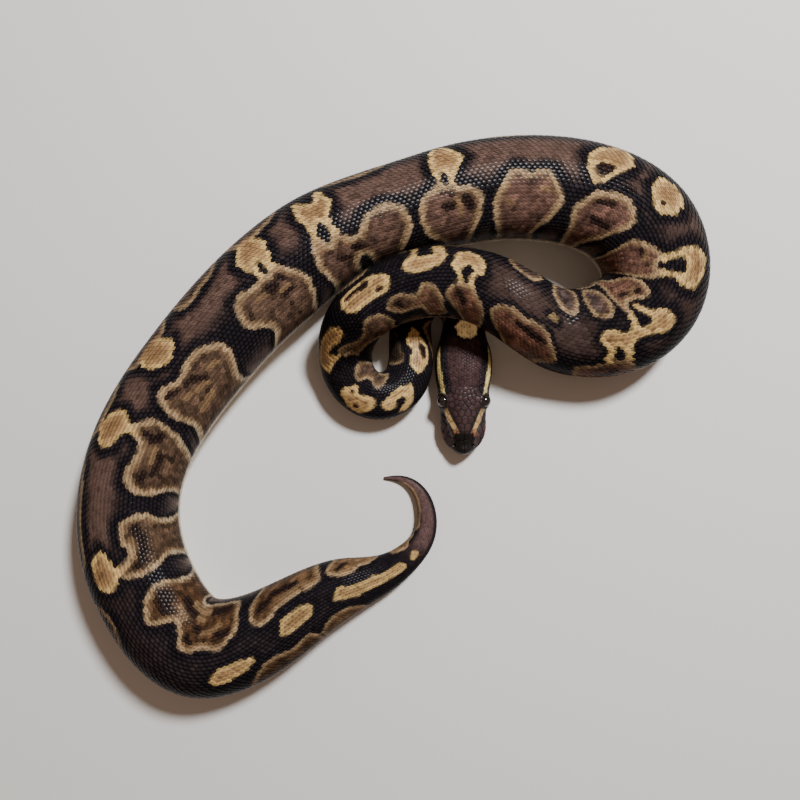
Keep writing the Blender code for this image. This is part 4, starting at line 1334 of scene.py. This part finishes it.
def plateShape(acrossParts):  # one belly plate, its rear edge raised over the next
    solid = bmesh.new()
    bmesh.ops.create_grid(solid, x_segments=3, y_segments=acrossParts, size=1)
    for v in solid.verts:
        u = v.co.x * 0.66
        taper = 1 - 0.3 * max(0.0, abs(v.co.y) - 0.75) / 0.25
        v.co = (u * taper, v.co.y, 0.5 + 0.7 * u)
    bmesh.ops.solidify(solid, geom=solid.faces, thickness=0.35)
    bmesh.ops.recalc_face_normals(solid, faces=solid.faces)
    top = max(v.co.z for v in solid.verts)
    bmesh.ops.translate(solid, verts=solid.verts, vec=(0, 0, 0.95 - top))
    return shapeArrays(solid)


def makePlates(material):  # broad plates under the trunk, pairs of them under the tail
    chance = np.random.default_rng(7)
    groups = {  # faces across a plate, where the plates start and end, and whether they lie in pairs
        "belly_plates": (12, coat["throat"], coat["vent"] + 2, False),
        "tail_plates": (5, coat["vent"] + 2, bodyLength - 2, True),
    }
    for name, (parts, start, end, paired) in groups.items():
        s = rowPlaces(start, end, 0.5, 1.0, coat["plates"])
        pitch = scalePitch(s) * coat["plates"]
        half = coat["bellyShare"] * girthAt(s) + 0.35 * scaleSpacing(s)
        middle = 0.5 + 0.6 * backAt(s)
        for k, side in enumerate((-1, 1) if paired else (0,)):
            rows = {
                "s": s + side * pitch * 0.25,
                "f": middle + side * coat["bellyShare"] * 0.5,
                "pitch": pitch,
                "width": half * (0.55 if paired else 1.0),
                "depth": coatDepth(s),
                "lift": np.full(len(s), 0.95),
                "shade": np.clip(chance.normal(1, 0.04, len(s)), 0.8, 1.1),
                "u": 0.02 + 0.96 * (s - start) / (end - start),
                "v": np.full(len(s), 0.3 + 0.4 * k),
            }
            joinedCopies(f"{name}_{k + 1}", plateShape(parts), rows, material)


surfaces = {
    # roughness, shine, how fine the grain of the colour and the ridges are, strength of the ridges
    "python_scales": (0.18, 0.022, 1500, 9000, 0.05),
    "python_skin": (0.55, 0.1, 900, 4000, 0.12),
    "head_shields": (0.35, 0.18, 2200, 5000, 0.3),
}


def paintedMaterial(name):  # a material, its shader and the paint of the pieces that wear it
    material = bpy.data.materials.new(name)
    material.use_nodes = True
    nodes = material.node_tree.nodes
    marksNode = nodes.new("ShaderNodeAttribute")
    marksNode.attribute_name = "marks"
    return material, nodes["Principled BSDF"], marksNode.outputs["Color"]


def setInputs(node, values):
    for name, value in values.items():
        node.inputs[name].default_value = value


def scaleMaterial(name):
    roughness, shine, grainSize, ridgeSize, relief = surfaces[name]
    material, shader, colour = paintedMaterial(name)
    nodes = material.node_tree.nodes
    links = material.node_tree.links
    coords = nodes.new("ShaderNodeTexCoord")
    noises = []
    for size, detail in ((grainSize, 4), (ridgeSize, 3)):
        noise = nodes.new("ShaderNodeTexNoise")
        setInputs(noise, {"Scale": size, "Detail": detail})
        links.new(coords.outputs["Object"], noise.inputs["Vector"])
        noises.append(noise.outputs["Fac"])
    grain, ridges = noises
    shade = nodes.new("ShaderNodeMapRange")
    setInputs(shade, {"From Min": 0.3, "From Max": 0.7, "To Min": 0.8, "To Max": 1.18})
    links.new(grain, shade.inputs["Value"])
    tint = nodes.new("ShaderNodeVectorMath")
    tint.operation = "SCALE"
    links.new(colour, tint.inputs[0])
    links.new(shade.outputs["Result"], tint.inputs["Scale"])
    links.new(tint.outputs["Vector"], shader.inputs["Base Color"])
    rough = nodes.new("ShaderNodeMapRange")
    setInputs(rough, {"To Min": roughness - 0.04, "To Max": roughness + 0.04})
    links.new(grain, rough.inputs["Value"])
    links.new(rough.outputs["Result"], shader.inputs["Roughness"])
    bump = nodes.new("ShaderNodeBump")
    setInputs(bump, {"Strength": relief, "Distance": 0.0001})
    links.new(ridges, bump.inputs["Height"])
    links.new(bump.outputs["Normal"], shader.inputs["Normal"])
    setInputs(shader, {"Specular IOR Level": shine})
    return material


eyeball = {
    "size": 0.995,    # over the solid eye
    "gaze": (0.86, -0.12, 0.5),     # the way the left one's pupil faces
    "iris": (0.012, 0.008, 0.007),  # linear base colours
    "pupil": (0.002, 0.002, 0.003),
    "back": (0.004, 0.003, 0.003),
    "seen": 0.35,     # the ball is dark beyond that share of the way from its side to its front
    "slit": (3.2, 0.8),  # the pupil's narrowness across and along
    "gloss": {"Roughness": 0.06, "Coat Weight": 0.6, "Coat Roughness": 0.02},
}


def makeEyes(material):  # dark balls with an upright slit
    for name, sign in (("eye_left", 1), ("eye_right", -1)):
        low, high = map(np.array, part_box(name))
        centre = (low + high) / 2
        ball = bmesh.new()
        bmesh.ops.create_uvsphere(ball, u_segments=48, v_segments=28, radius=1)
        bmesh.ops.scale(ball, vec=(high - low) / 2 * eyeball["size"], verts=ball.verts)
        bmesh.ops.translate(ball, vec=centre, verts=ball.verts)
        mesh = toMesh(ball, name + "_ball")
        spots = (meshPoints(mesh) - centre) / ((high - low) / 2)
        gaze = np.array(eyeball["gaze"]) * (sign, 1, 1)
        facing = spots @ gaze
        across, along = eyeball["slit"]
        slit = np.abs(spots[:, 1] - gaze[1] * facing) * across
        slit = slit + np.sqrt(np.maximum(0, 1 - facing**2)) * along
        colour = np.where((slit > 1.0)[:, None], eyeball["iris"], eyeball["pupil"])
        colour = np.where((facing < eyeball["seen"])[:, None], eyeball["back"], colour)
        setPaint(mesh, colour)
        mesh.shade_smooth()
        piece = newPiece(name + "_ball", mesh, material)
        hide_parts(name)
    print("eyes: 2 balls")


def eyeMaterial():
    material, shader, colour = paintedMaterial("eye_gloss")
    material.node_tree.links.new(colour, shader.inputs["Base Color"])
    setInputs(shader, eyeball["gloss"])
    return material


studio = {  # metres here
    "floor": {"Base Color": (0.565, 0.548, 0.535, 1), "Roughness": 0.8},
    "floorSize": 3.0,
    "camera": (0.002446, 0.005767, 0.29),  # straight above, looking down
    "lens": 36.25,
    "sensor": 36,
    "keyAway": 0.9,    # the lamp's distance from the middle
    "keyHigh": 54.0,   # degrees over the floor
    "keyTurn": 56.0,   # degrees from +X towards +Y
    "keySize": 0.14,
    "keyPower": 17.2,
    "keyColour": (0.96, 0.99, 1.0),
    "fill": {"Color": (1.0, 0.71, 0.53, 1), "Strength": 0.31},
}


def makeStudio():
    floorShape = bmesh.new()
    bmesh.ops.create_grid(floorShape, x_segments=1, y_segments=1, size=studio["floorSize"] / 2)
    mesh = toMesh(floorShape, "floor")
    material = bpy.data.materials.new("floor")
    material.use_nodes = True
    setInputs(material.node_tree.nodes["Principled BSDF"], studio["floor"])
    mesh.materials.append(material)
    floor = bpy.data.objects.new("floor", mesh)
    bpy.context.scene.collection.objects.link(floor)
    turn = math.radians(studio["keyTurn"])
    high = math.radians(studio["keyHigh"])
    lamp = bpy.data.lights.new("key", "AREA")
    lamp.shape = "DISK"
    lamp.size = studio["keySize"]
    lamp.energy = studio["keyPower"]
    lamp.color = studio["keyColour"]
    key = bpy.data.objects.new("key", lamp)
    away = studio["keyAway"] * math.cos(high)
    key.location = (away * math.cos(turn), away * math.sin(turn), studio["keyAway"] * math.sin(high))
    key.rotation_euler = (math.pi / 2 - high, 0, math.pi / 2 + turn)
    bpy.context.scene.collection.objects.link(key)
    world = bpy.data.worlds.new("studio")
    world.use_nodes = True
    setInputs(world.node_tree.nodes["Background"], studio["fill"])
    bpy.context.scene.world = world
    eye = bpy.data.cameras.new("camera")
    eye.lens = studio["lens"]
    eye.sensor_width = studio["sensor"]
    eye.clip_start = 0.01
    camera = bpy.data.objects.new("camera", eye)
    camera.location = studio["camera"]
    bpy.context.scene.collection.objects.link(camera)
    bpy.context.scene.camera = camera


makeStudio()
print("studio ready")
scaleGloss = scaleMaterial("python_scales")
makeSkin(scaleMaterial("python_skin"))
makeScales(scaleGloss)
makePlates(scaleGloss)
makeShields(scaleMaterial("head_shields"))
makeEyes(eyeMaterial())

bpy.context.view_layer.update()
